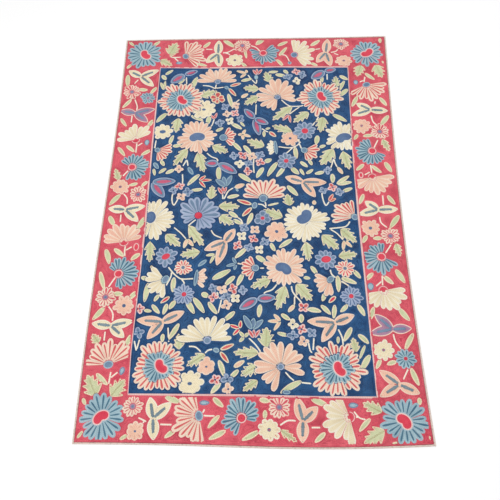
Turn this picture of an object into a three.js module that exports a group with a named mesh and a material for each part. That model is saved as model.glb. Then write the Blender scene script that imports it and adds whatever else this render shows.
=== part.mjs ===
// A hand-embroidered wool rug, lying flat: a face of wool chain stitch on cotton, and a narrow
// cotton binding sewn along each of its four edges. Millimetres, +Z up. The origin is on the
// floor, under the middle of the rug, and +Y points to its far end.
import * as THREE from 'three';

// The rug's size over the binding, from corner to corner
const RUG_WIDTH = 1220;
const RUG_LENGTH = 1830;
const FACE_THICKNESS = 3;

const BINDING_WIDTH = 6;
const BINDING_HEIGHT = 3.4;
const BINDING_ROUNDING = 1;
const ROUNDING_STEPS = 3;

// Clearance between the face and the binding, and where two bindings meet at a corner
const SEWING_GAP = 0.3;
const CORNER_GAP = 0.5;

const EDGE_STEPS = 24;

// How far each edge strays outwards from the straight line between its corners. bow is the
// swing at mid-edge. sway is the S-shaped part, outwards in the lower or left half.
const EDGE_SHAPE = {
  left: { bow: 0, sway: 4.5 },
  right: { bow: -20, sway: -1.5 },
  near: { bow: 9, sway: -4.5 },
  far: { bow: 0, sway: 2 },
};

// From the middle of the rug's corners to the middle of its box, which the strays pull apart
const BOX_SHIFT = new THREE.Vector2(
  (furthestOut('left') - furthestOut('right')) / 2,
  (furthestOut('near') - furthestOut('far')) / 2,
);

const EMBROIDERY = new THREE.MeshStandardMaterial({ color: 0x1f4a80, roughness: 0.95, metalness: 0 });
const COTTON = new THREE.MeshStandardMaterial({ color: 0xd8cbb8, roughness: 0.9, metalness: 0 });

function edgeLength(side) {
  return side === 'left' || side === 'right' ? RUG_LENGTH : RUG_WIDTH;
}

// The outward stray of an edge, at a place along it measured from the edge's middle
function strayAt(side, along) {
  const share = along / edgeLength(side) + 0.5;
  const { bow, sway } = EDGE_SHAPE[side];
  return bow * Math.sin(Math.PI * share) + sway * Math.sin(2 * Math.PI * share);
}

function furthestOut(side) {
  let furthest = 0;
  for (let i = 0; i <= EDGE_STEPS; i += 1) {
    const along = (i / EDGE_STEPS - 0.5) * edgeLength(side);
    furthest = Math.max(furthest, strayAt(side, along));
  }
  return furthest;
}

// A point on the line that runs beside an edge, inset from the rug's outline
function edgePoint(side, along, inset) {
  const stray = strayAt(side, along);
  const across = (side === 'left' || side === 'right' ? RUG_WIDTH : RUG_LENGTH) / 2 - inset + stray;
  const places = {
    left: [-across, along],
    right: [across, along],
    near: [along, -across],
    far: [along, across],
  };
  return new THREE.Vector2(...places[side]).add(BOX_SHIFT);
}

// Points along an edge, from one place to another, both included
function edgeRun(side, from, to, inset) {
  const points = [];
  for (let i = 0; i <= EDGE_STEPS; i += 1) {
    points.push(edgePoint(side, THREE.MathUtils.lerp(from, to, i / EDGE_STEPS), inset));
  }
  return points;
}

function faceGeometry() {
  const inset = BINDING_WIDTH + SEWING_GAP;
  const halfWidth = RUG_WIDTH / 2 - inset;
  const halfLength = RUG_LENGTH / 2 - inset;
  const leftEnd = (y) => -halfWidth - strayAt('left', y);
  const rightEnd = (y) => halfWidth + strayAt('right', y);
  const outline = [
    ...edgeRun('near', leftEnd(-halfLength), rightEnd(-halfLength), inset).slice(0, -1),
    ...edgeRun('right', -halfLength, halfLength, inset).slice(0, -1),
    ...edgeRun('far', rightEnd(halfLength), leftEnd(halfLength), inset).slice(0, -1),
    ...edgeRun('left', halfLength, -halfLength, inset).slice(0, -1),
  ];
  return new THREE.ExtrudeGeometry(new THREE.Shape(outline), {
    depth: FACE_THICKNESS,
    bevelEnabled: false,
  });
}

// The side bindings run the whole length, and the end bindings fit between them
function bindingGeometry(side) {
  const runsWholeLength = side === 'left' || side === 'right';
  const reach = runsWholeLength ? RUG_LENGTH / 2 : RUG_WIDTH / 2 - BINDING_WIDTH - CORNER_GAP;
  const outline = [
    ...edgeRun(side, -reach, reach, 0),
    ...edgeRun(side, reach, -reach, BINDING_WIDTH),
  ];
  const geometry = new THREE.ExtrudeGeometry(new THREE.Shape(outline), {
    depth: BINDING_HEIGHT - 2 * BINDING_ROUNDING,
    bevelThickness: BINDING_ROUNDING,
    bevelSize: BINDING_ROUNDING,
    bevelOffset: -BINDING_ROUNDING,
    bevelSegments: ROUNDING_STEPS,
  });
  return geometry.translate(0, 0, BINDING_ROUNDING);
}

function namedMesh(name, geometry, material) {
  const mesh = new THREE.Mesh(geometry, material);
  mesh.name = name;
  return mesh;
}

const rug = new THREE.Group();
rug.add(namedMesh('rug_face', faceGeometry(), EMBROIDERY));
for (const side of Object.keys(EDGE_SHAPE)) {
  rug.add(namedMesh(`binding_${side}`, bindingGeometry(side), COTTON));
}

export default rug;
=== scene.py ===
"""A hand-embroidered floral rug, seen lying flat: rows of wool chain stitch on a sheet of cotton,
with a whip-stitched binding along each edge. Metres in the scene, millimetres in the tables."""

import math
import random
from collections import namedtuple

import bpy
import numpy as np
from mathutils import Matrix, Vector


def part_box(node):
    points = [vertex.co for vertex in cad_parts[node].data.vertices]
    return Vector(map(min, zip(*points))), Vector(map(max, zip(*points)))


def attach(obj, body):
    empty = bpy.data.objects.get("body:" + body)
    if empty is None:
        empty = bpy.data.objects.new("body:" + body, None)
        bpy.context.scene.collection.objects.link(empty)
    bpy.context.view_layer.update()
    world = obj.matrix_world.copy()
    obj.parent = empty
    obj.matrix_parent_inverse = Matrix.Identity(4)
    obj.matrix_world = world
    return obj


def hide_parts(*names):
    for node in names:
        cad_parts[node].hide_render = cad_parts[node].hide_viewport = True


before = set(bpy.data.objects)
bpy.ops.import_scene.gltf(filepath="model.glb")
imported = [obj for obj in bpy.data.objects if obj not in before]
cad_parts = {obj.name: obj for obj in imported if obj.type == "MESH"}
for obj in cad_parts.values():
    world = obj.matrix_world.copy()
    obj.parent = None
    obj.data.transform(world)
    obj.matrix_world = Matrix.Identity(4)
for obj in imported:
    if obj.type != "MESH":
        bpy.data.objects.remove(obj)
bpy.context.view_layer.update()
rng = random.Random(1830)

MM = 0.001

# Chain stitch, in millimetres
STITCH_LENGTH = 6.0
POINTS_A_STITCH = 2
GROUND_POINTS_A_STITCH = 1
ROW_PITCH = 4.5
ROW_BASE = 2.0
ROW_CREST = 3.2
ROW_SPREAD = 1.3
FINE_ROW = 3.4
STEM_ROW = 6.4

# How much a row swells and rises with each stitch, and how uneven the rows' heights are
STITCH_BULGE = 0.1
STITCH_RISE = 0.1
CREST_SPREAD = 0.06

# The ends of a row: how far they draw in, how narrow they are beside the row, how far they dip
END_SETBACK = 0.7
END_NARROWING = 0.55
END_DIP = 0.5

# Rows worked over others: how far up they start, and how far up they reach
OVER_BASE = 0.8
OVER_CREST = 0.5

# The fewest points of a row, of a ring that has any width, and of a line worth following
SHORTEST_ROW_POINTS = 3
SHORTEST_RING_POINTS = 4
SHORTEST_LINE_POINTS = 6

# Petals start this share of the way out to the heart's edge, and show from where the heart ends
HIDDEN_START = 0.55

# Where petals start when their flower has no heart
OPEN_START = 2.0

# A petal's tip as a share of its width and, at most, of its length
TIP_LENGTH = 0.95
LONGEST_TIP = 0.6

# How narrow a petal's rows get at its root, and how near its middle they fold, beside their width
NARROWEST_ROW = 0.42
CLOSEST_FOLD = 0.05

# How uneven petals are, how far they and their rows close the gaps, and the points along each
LENGTH_SPREAD = (0.83, 1.09)
TURN_SPREAD = 0.14
PETAL_FULLNESS = 1.06
PETAL_ROW_FULLNESS = 1.16
PETAL_POINTS = 60

# How much of its room a petal fills, its rows' pitch, and its middle row's width beside the others
PETAL_STYLES = {
    "corner daisy": (0.8, 4.0, 1.7),
    "medallion": (0.84, 4.0, 1.6),
    "medallion ring": (0.9, ROW_PITCH, 1.3),
    "bean daisy": (0.76, ROW_PITCH, 1.0),
    "open daisy": (0.72, ROW_PITCH, 1.0),
    "blue fan": (0.8, 4.2, 1.5),
    "striped fan": (0.86, 4.4, 1.6),
    "plain fan": (0.82, ROW_PITCH, 1.0),
    "half flower": (0.78, ROW_PITCH, 1.0),
    "small daisy": (0.78, ROW_PITCH, 1.0),
    "star daisy": (0.8, 3.8, 1.0),
    "cross": (0.4, ROW_PITCH, 1.0),
}

# The row of petal yarn that closes the gap round a heart: how far out it lies
COLLAR_REACH = 2.0

# A bean's round ends as a share of its width, and half the turn from one end to the other
BEAN_END = 0.42
BEAN_ARC = math.radians(42)

# How many points make the outline of a round heart, each long side of a bean and each of its ends
HEART_POINTS = 40
BEAN_SIDE_POINTS = 12
BEAN_END_POINTS = 7

# Petals of a corner daisy, of a medallion and of its inner ring, and the ring's share of its reach
CORNER_PETALS = 18
MEDALLION_PETALS = 26
RING_PETALS = 20
RING_REACH = 0.6

# How far a blue fan's lining and the start of its petals lie inside its heart's edge
LINING_INSET = 2
FAN_START_INSET = 5

# A star daisy's heart, where its open petals start, and their count
STAR_HEART = 10
STAR_START = 20
STAR_PETALS = 14

# How deep the notches of a scalloped flower are, how round its lobes, and how full it is worked
SCALLOP_DEPTH = 0.26
SCALLOP_ROUNDNESS = 0.6
SCALLOP_FULLNESS = 1.06
SCALLOP_POINTS = 8

# The calyx behind a plain fan: its arc and its rays, in millimetres and radians
CALYX_RADIUS = 17.0
CALYX_ARC = 1.5
CALYX_POINTS = 12
CALYX_RAYS = (-0.9, -0.45, 0, 0.45, 0.9)
CALYX_RAY_START = 2
CALYX_RAY_LENGTH = 12.0

# A three-leaf sprig: how far its leaves overlap at the join, and the veins' width and reach
JOIN_OVERLAP = 0.08
TREFOIL_VEIN = 11.0
VEIN_REACH = 0.78

# The rose part in a red heart: its two ends as shares of the heart, and its width beside it
ROSE_ENDS = (0.15, 0.85)
ROSE_WIDTH = 0.42

# A small cross
CROSS_REACH = 22
CROSS_ARMS = 4

# How wide the rows inside a patch are worked beside the gaps between them
INNER_FULLNESS = 1.45

# Leaves: the points along each, those of its middle row, and how full, long and bent it is
LEAF_POINTS = 25
LEAF_CORE = slice(3, -3)
SPRIG_CORE = slice(2, -3)
LEAF_FULLNESS = 1.02
LEAF_OVERREACH = 0.07
LEAF_BOW = 0.12

# Broad leaves: how full, how uneven their teeth, how near the tip these end, and the vein's reach
BROAD_LEAF_FULLNESS = 1.3
BROAD_LEAF_PITCH = 4.2
TOOTH_SLIP = 0.04
TOOTH_SPREAD = (0.9, 1.1)
LAST_TOOTH = 0.94
BROAD_VEIN_REACH = 0.8

# The two rows where the border meets the field
GUARD_PITCH = 3.5

# How far motifs keep from the guard line on each side of it, and from the rug's edge
FIELD_CLEARANCE = 4.0
BORDER_CLEARANCE = 6.0
EDGE_CLEARANCE = 7.0

# The ground's own rows, which echo the motifs and coil in the open places
GROUND_ROW_PITCH = 4.9
GROUND_ROW_CREST = 2.85
GROUND_EDGE_CLEARANCE = 2.0
ECHO_REACH = 90.0
SHORTEST_ECHO = 18.0

# The ground cloth
GROUND_TOP = 2.25
GROUND_EDGE_TOP = 1.7
GROUND_ROLL = 3.0
GROUND_CELL = 30.0

# Where the cloth's edges and the guard lines stand at first, before they take their own lines
KNOTS_ACROSS = (-604, -437, 424, 604)
KNOTS_UP = (-909, -750, 736, 909)
KNOT_ROUNDS = 4

# The binding's roll of cotton and the thread that whips it
BINDING_WIDTH = 6.0
BINDING_HEIGHT = 3.4
BINDING_GAP = 0.3
BINDING_CORNERS = 8
BINDING_END = 0.7
WHIP_PITCH = 6.0
WHIP_BULGE = 0.12
WHIP_SLANT = 0.9
POINTS_A_WHIP = 4

# A point of the face's outline is on a side when it is at least this far from the frame's middle
SIDE_REACH_X = 575
SIDE_REACH_Y = 880

# The grid on which each row finds whether its place is free, and how far a row holds the places
# round it
CELL = 1.2
GRID_REACH_X = 640.0
GRID_REACH_Y = 950.0
ROW_HOLD = 2.4

# Camera, as worked out from the four corners of the rug in the photo: lens and sensor in
# millimetres, reach and place in metres, turn in degrees
CAMERA_LENS = 41.192
CAMERA_SENSOR = 36.0
CAMERA_REACH = 50.0
CAMERA_PLACE = (0.0591, -1.1412, 2.0106)
CAMERA_TURN = (25.418, 1.771, 0.531)

# Name, place in metres, size in metres, power in watts
LIGHTS = [
    ("key", (-1.2, -0.6, 2.6), 2.5, 26),
    ("fill", (1.4, 0.8, 2.8), 2.5, 16),
]
STUDIO_LIGHT = 0.8
FLOOR_REACH = 6.0
FLOOR_WHITE = (0.95, 0.95, 0.95, 1.0)

# Yarn: lighter colour, deeper colour, as sRGB
YARNS = {
    "ivory": ((255, 250, 234), (250, 238, 214)),
    "cream": ((252, 240, 208), (240, 224, 188)),
    "green": ((226, 228, 188), (200, 206, 160)),
    "tan": ((214, 210, 164), (192, 186, 140)),
    "shell": ((255, 236, 216), (251, 219, 198)),
    "peach": ((254, 214, 190), (242, 192, 166)),
    "pink": ((255, 224, 216), (246, 196, 192)),
    "salmon": ((234, 122, 118), (212, 90, 92)),
    "crimson": ((242, 88, 106), (216, 60, 82)),
    "sky": ((186, 212, 220), (152, 184, 198)),
    "slate": ((136, 160, 184), (104, 130, 162)),
    "denim": ((110, 136, 172), (82, 108, 150)),
    "teal": ((96, 138, 158), (68, 108, 132)),
    "shade": ((134, 154, 164), (108, 130, 144)),
    "lilac": ((188, 200, 222), (160, 174, 204)),
    "mauve": ((192, 150, 174), (164, 122, 152)),
    "rose": ((222, 112, 140), (196, 88, 120)),
}

GROUND_YARNS = {
    "red": ((246, 116, 128), (202, 64, 86)),
    "navy": ((56, 106, 156), (14, 48, 94)),
}

# Cotton: lighter colour, colour of its specks, as sRGB
COTTONS = {
    "backing": ((226, 214, 190), (206, 192, 164)),
    "whipping": ((222, 204, 192), (166, 146, 140)),
}

# A place, two sizes, and the turn of its length in degrees
Oval = namedtuple("Oval", "x y length width turn")

# The tables below are in millimetres from the rug's centre, x to the right and y to the far edge

# The line between border and field: place along the side, place of the line
GUARD_LEFT = [(-748, -437), (-600, -441), (-500, -440), (-100, -434), (300, -438), (742, -437)]
GUARD_RIGHT = [(-756, 430), (-500, 425), (-50, 416), (250, 415), (729, 424)]
GUARD_NEAR = [(-437, -748), (0, -750), (200, -755), (430, -756)]
GUARD_FAR = [(-437, 742), (-200, 735), (0, 735), (100, 736), (250, 732), (424, 729)]

# x, y, reach, heart, the heart's side that bulges: 1 is to the left of its turn
CORNER_DAISIES = [
    (-517, 822, 84, Oval(-513, 820, 66, 44, -55), -1),
    (513, 810, 78, Oval(518, 811, 68, 44, 35), -1),
    (-520, -825, 80, Oval(-523, -825, 64, 44, 35), 1),
    (516, -834, 82, Oval(515, -834, 64, 46, -48), 1),
]

# x, y, reach, heart, side that bulges
MEDALLIONS = [
    (-333, 552, 102, Oval(-325, 550, 60, 40, -52), -1),
    (292, 555, 101, Oval(295, 560, 60, 40, -65), -1),
    (-336, -648, 97, Oval(-328, -650, 62, 42, -52), -1),
    (298, -655, 101, Oval(305, -658, 62, 42, -62), -1),
]

# yarn, rim, heart, side that bulges, petals, first and last angle
BEAN_DAISIES = [
    ("peach", Oval(-245, 346, 172, 172, 0), Oval(-247, 349, 68, 46, 8), 1, 21, 0, 360),
    ("peach", Oval(120, -268, 168, 168, 0), Oval(116, -269, 66, 44, -28), 1, 21, 0, 360),
    ("cream", Oval(207, -70, 190, 176, 0), Oval(203, -48, 72, 50, 50), -1, 24, 0, 360),
    ("cream", Oval(380, 340, 160, 160, 0), Oval(378, 337, 68, 44, 25), 1, 20, 0, 360),
    ("cream", Oval(-408, -55, 190, 190, 0), Oval(-413, -44, 54, 40, 90), -1, 22, 0, 360),
]

# yarn, centre, rim, radius of the heart, petals, first and last angle
OPEN_DAISIES = [
    ("peach", (102, 560), Oval(98, 568, 184, 184, 0), 12, 14, -26, 262),
    ("peach", (99, -650), Oval(97, -648, 180, 180, 0), 12, 14, -26, 262),
    ("peach", (-168, 652), Oval(-168, 650, 178, 170, 0), 13, 10, -2, 182),
    ("cream", (-166, -554), Oval(-172, -545, 194, 192, 0), 14, 11, -4, 184),
    ("cream", (181, 807), Oval(181, 807, 190, 190, 0), 16, 9, -62, 100),
]

# centre, rim, petals, first and last angle, radius of the heart
BLUE_FANS = [
    ((-223, -37), Oval(-222, -26, 174, 170, 0), 14, -100, 220, 17),
    ((38, 821), Oval(42, 822, 140, 140, 0), 15, 155, 415, 19),
    ((-514, 197), Oval(-507, 198, 132, 132, 0), 15, -112, 152, 19),
    ((496, 267), Oval(489, 262, 128, 128, 0), 15, 95, 340, 19),
    ((-519, -290), Oval(-507, -288, 132, 132, 0), 15, -100, 150, 19),
    ((491, -223), Oval(487, -231, 132, 132, 0), 15, 70, 335, 19),
    ((-37, -827), Oval(-40, -820, 132, 132, 0), 15, -15, 255, 19),
]

# x, y, first and last angle, reach, petals, length and width of the heart
STRIPED_FANS = [
    (-323, 808, -55, 97, 97, 10, 28, 34),
    (499, 624, -150, 10, 96, 10, 28, 36),
    (-517, -643, 20, 180, 94, 10, 30, 36),
    (-183, -820, 100, 285, 96, 11, 28, 36),
    (-414, 283, -90, 35, 66, 7, 24, 24),
    (-134, 344, -58, 72, 58, 6, 34, 34),
    (211, 274, -85, 32, 62, 6, 28, 28),
    (38, 40, 5, 175, 97, 10, 34, 34),
    (402, -49, 92, 198, 92, 7, 28, 28),
    (8, -268, 105, 255, 55, 7, 28, 28),
]

# yarn, x, y, first and last angle, reach, petals
PLAIN_FANS = [
    ("cream", -512, 338, 25, 190, 86, 8),
    ("peach", 486, 136, -168, 12, 88, 9),
    ("peach", -512, -154, 14, 188, 86, 9),
    ("cream", 486, -362, -168, 12, 88, 9),
    ("cream", 330, -822, 108, 284, 92, 9),
]

# yarn, yarn of the veins, width, join, the tips of the three leaves
TREFOILS = [
    ("cream", "shade", 43, (-172, 821), (-170, 905), (-226, 766), (-163, 737)),
    ("peach", "shade", 43, (327, 818), (340, 902), (282, 757), (346, 735)),
    ("cream", "shade", 39, (-522, 690), (-582, 726), (-457, 630), (-440, 728)),
    ("mauve", "slate", 39, (-529, 481), (-598, 495), (-466, 430), (-440, 503)),
    ("cream", "shade", 39, (506, 483), (446, 520), (582, 476), (422, 453)),
    ("cream", "shade", 39, (-522, -8), (-593, -2), (-463, -64), (-440, 9)),
    ("cream", "shade", 39, (496, -17), (446, 24), (577, -14), (416, -38)),
    ("cream", "shade", 39, (-525, -498), (-598, -489), (-470, -544), (-442, -480)),
    ("mauve", "slate", 39, (505, -512), (444, -454), (576, -509), (421, -528)),
    ("peach", "shade", 39, (510, -712), (443, -661), (578, -743), (438, -754)),
    ("cream", "shade", 43, (-341, -829), (-281, -775), (-334, -902), (-357, -756)),
    ("peach", "shade", 43, (172, -836), (225, -787), (168, -908), (153, -754)),
    ("peach", "shade", 41, (200, 117), (127, 142), (250, 43), (299, 113)),
    ("peach", "shade", 41, (-112, -155), (-74, -97), (-142, -258), (-194, -192)),
    ("peach", "shade", 41, (-334, -483), (-254, -442), (-387, -550), (-433, -476)),
    ("peach", "shade", 41, (299, -487), (373, -457), (247, -561), (196, -481)),
]

# join, tip and width of one heart, tip and width of the other
RED_HEART_PAIRS = [
    ((-321, 697), (-382, 651), 45, (-261, 718), 30),
    ((316, 706), (255, 662), 46, (369, 717), 32),
    ((-422, 122), (-324, 126), 40, (-368, 48), 44),
    ((-150, 212), (-208, 212), 36, (-71, 162), 42),
    ((15, -393), (-52, -434), 38, (83, -389), 34),
    ((0, 443), (-46, 497), 34, (61, 413), 34),
    ((0, 443), (22, 352), 36, (22, 352), 36),
]

# x, y, tip x, tip y, width, outline yarn, inner yarn
SMALL_LOBES = [
    # Red pairs on a slate base
    (-112, 626, -60, 643, 18, "cream", "salmon"),
    (-117, 614, -82, 568, 18, "cream", "salmon"),
    (-8, 12, -71, 34, 20, "cream", "salmon"),
    (-8, -2, -48, -43, 20, "cream", "salmon"),
    (-118, -588, -66, -567, 18, "cream", "salmon"),
    (-118, -595, -85, -638, 18, "cream", "salmon"),
    # Sky leaf buds
    (-424, 219, -401, 186, 20, "sky", "slate"),
    (-277, 194, -254, 156, 18, "sky", "slate"),
    (-181, -233, -215, -261, 16, "sky", "slate"),
    # Red buds
    (63, 372, 94, 344, 20, "cream", "salmon"),
    (-314, -384, -349, -411, 16, "cream", "crimson"),
    (308, -384, 279, -411, 18, "cream", "crimson"),
    # Peach buds
    (-61, 560, -28, 582, 20, "cream", "peach"),
    (346, 188, 367, 152, 18, "cream", "peach"),
    (-80, 92, -38, 108, 22, "cream", "peach"),
    (154, -418, 128, -447, 18, "cream", "peach"),
    (-68, -652, -28, -627, 20, "cream", "peach"),
    (243, 8, 243, 30, 18, "cream", "peach"),
    # Buds of slate on the red border
    (453, 652, 453, 624, 22, "slate", "sky"),
    (-462, 338, -462, 306, 22, "slate", "sky"),
    (440, -330, 440, -362, 24, "slate", "sky"),
    (-366, 768, -334, 768, 18, "slate", "sky"),
    (-185, -776, -147, -776, 18, "slate", "sky"),
    (328, -783, 364, -783, 20, "slate", "sky"),
    (-462, -650, -469, -682, 20, "slate", "sky"),
    (159, 768, 159, 748, 18, "sky", "slate"),
]

# outline yarn, inner yarn, width, join, tips
SPRAYS = [
    ("cream", "crimson", 15, (-228, 128), [(-200, 152), (-173, 130), (-199, 92)]),
    ("cream", "crimson", 15, (-48, -509), [(-45, -477), (-92, -494), (-74, -535)]),
    ("cream", "peach", 15, (101, -481), [(75, -453), (52, -481), (75, -518)]),
    ("cream", "peach", 15, (-51, 360), [(-38, 386), (-14, 346), (-48, 330), (-72, 358)]),
    ("cream", "peach", 15, (-39, 700), [(-86, 716), (-39, 722), (-67, 674)]),
    ("pink", "salmon", 14, (9, 690), [(-10, 722), (9, 728), (34, 723)]),
    ("pink", "salmon", 14, (-128, 60), [(-149, 95), (-128, 98), (-112, 97)]),
    ("sky", "slate", 22, (-118, 98), [(-160, 134), (-128, 147), (-92, 153)]),
    ("sky", "slate", 22, (-5, -512), [(-36, -457), (3, -468), (38, -475)]),
    ("pink", "salmon", 14, (3, -545), [(-18, -512), (3, -512), (27, -512)]),
    ("pink", "salmon", 13, (151, 463), [(121, 430), (156, 417)]),
    ("pink", "salmon", 13, (-176, 443), [(-190, 465), (-165, 479)]),
    ("cream", "peach", 17, (-262, -142), [(-274, -184), (-235, -175)]),
    ("cream", "peach", 15, (353, -152), [(346, -196), (383, -183)]),
    ("peach", "salmon", 16, (302, 25), [(322, 59), (333, 37)]),
    ("sky", "slate", 13, (-67, -250), [(-82, -222), (-107, -260), (-74, -277)]),
    ("cream", "green", 13, (-150, -209), [(-187, -215), (-169, -250)]),
    ("cream", "green", 20, (337, 105), [(394, 146), (403, 114)]),
    ("cream", "green", 14, (-32, -541), [(-50, -520), (-50, -560), (-15, -525)]),
    ("sky", "slate", 12, (-74, 87), [(-83, 101), (-64, 73)]),
]

# yarn, x, y, first and last angle, reach, petals, base
HALF_FLOWERS = [
    ("cream", 104, 294, 132, 232, 58, 5, Oval(91, 290, 72, 15, -85)),
    ("peach", -231, -308, -50, 48, 60, 5, Oval(-219, -308, 70, 15, 84)),
    ("cream", -340, -314, 128, 280, 74, 7, Oval(-336, -314, 36, 26, 60)),
    ("peach", 290, -318, 148, 285, 66, 6, Oval(292, -316, 30, 24, 50)),
]

# x, y, reach
STAR_DAISIES = [
    (-59, 869, 41),
    (400, 869, 37),
    (-554, 601, 42),
    (536, 366, 42),
    (-476, 63, 38),
    (534, -134, 38),
    (-558, -386, 40),
    (-415, -789, 37),
    (92, -790, 40),
]

# x, y, reach, outline yarn, line yarn, heart yarn, heart length, heart width, heart turn, petals
SMALL_DAISIES = [
    (-478, 565, 35, "sky", "teal", "mauve", 14, 14, 0, 12),
    (541, -620, 38, "sky", "teal", "crimson", 14, 14, 0, 12),
    (217, 374, 49, "lilac", "slate", "crimson", 28, 28, 0, 10),
    (134, 221, 42, "lilac", "slate", "crimson", 20, 20, 0, 9),
    (-341, -218, 45, "lilac", "slate", "crimson", 34, 24, 30, 10),
    (-261, -375, 43, "lilac", "denim", "crimson", 18, 18, 0, 13),
    (279, -233, 45, "lilac", "slate", "crimson", 38, 28, 10, 10),
    (365, -384, 44, "lilac", "denim", "crimson", 18, 18, 0, 13),
    (35, -51, 35, "lilac", "slate", "crimson", 16, 16, 0, 6),
    (-271, -265, 37, "shell", "crimson", "slate", 14, 14, 0, 12),
    (349, -271, 38, "shell", "crimson", "slate", 14, 14, 0, 12),
    (-166, 556, 35, "cream", "salmon", "mauve", 10, 10, 0, 6),
]

# x, y, reach, yarn, lobes, heart length, heart width
SCALLOPED_FLOWERS = [
    (-93, 780, 38, "cream", 8, 12, 12),
    (407, 767, 36, "peach", 9, 12, 12),
    (-554, 101, 38, "peach", 10, 12, 12),
    (461, 398, 39, "peach", 10, 12, 12),
    (459, -99, 37, "peach", 10, 14, 14),
    (-484, -420, 38, "peach", 9, 14, 14),
    (466, -589, 37, "cream", 9, 12, 12),
    (-399, -872, 33, "peach", 8, 10, 10),
    (57, -865, 38, "cream", 9, 12, 12),
    (153, 336, 38, "peach", 8, 12, 12),
    (90, -112, 45, "peach", 8, 14, 14),
    (-224, 496, 52, "cream", 9, 16, 12),
    (-221, -710, 46, "cream", 9, 16, 12),
    (-165, -650, 33, "peach", 6, 9, 9),
    (-398, 378, 41, "cream", 8, 26, 20),
]

# x, y, length, width
PINK_RINGS = [
    (440, 147, 32, 21),
    (-461, -176, 34, 22),
]

# x, y, length, width, turn, yarn
SMALL_HEARTS = [
    (-127, 618, 24, 18, -40, "slate"),
    (3, 8, 30, 22, 80, "slate"),
    (-132, -590, 24, 18, -20, "slate"),
    (6, 676, 26, 18, 90, "sky"),
    (118, -739, 28, 15, 0, "slate"),
]

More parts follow.
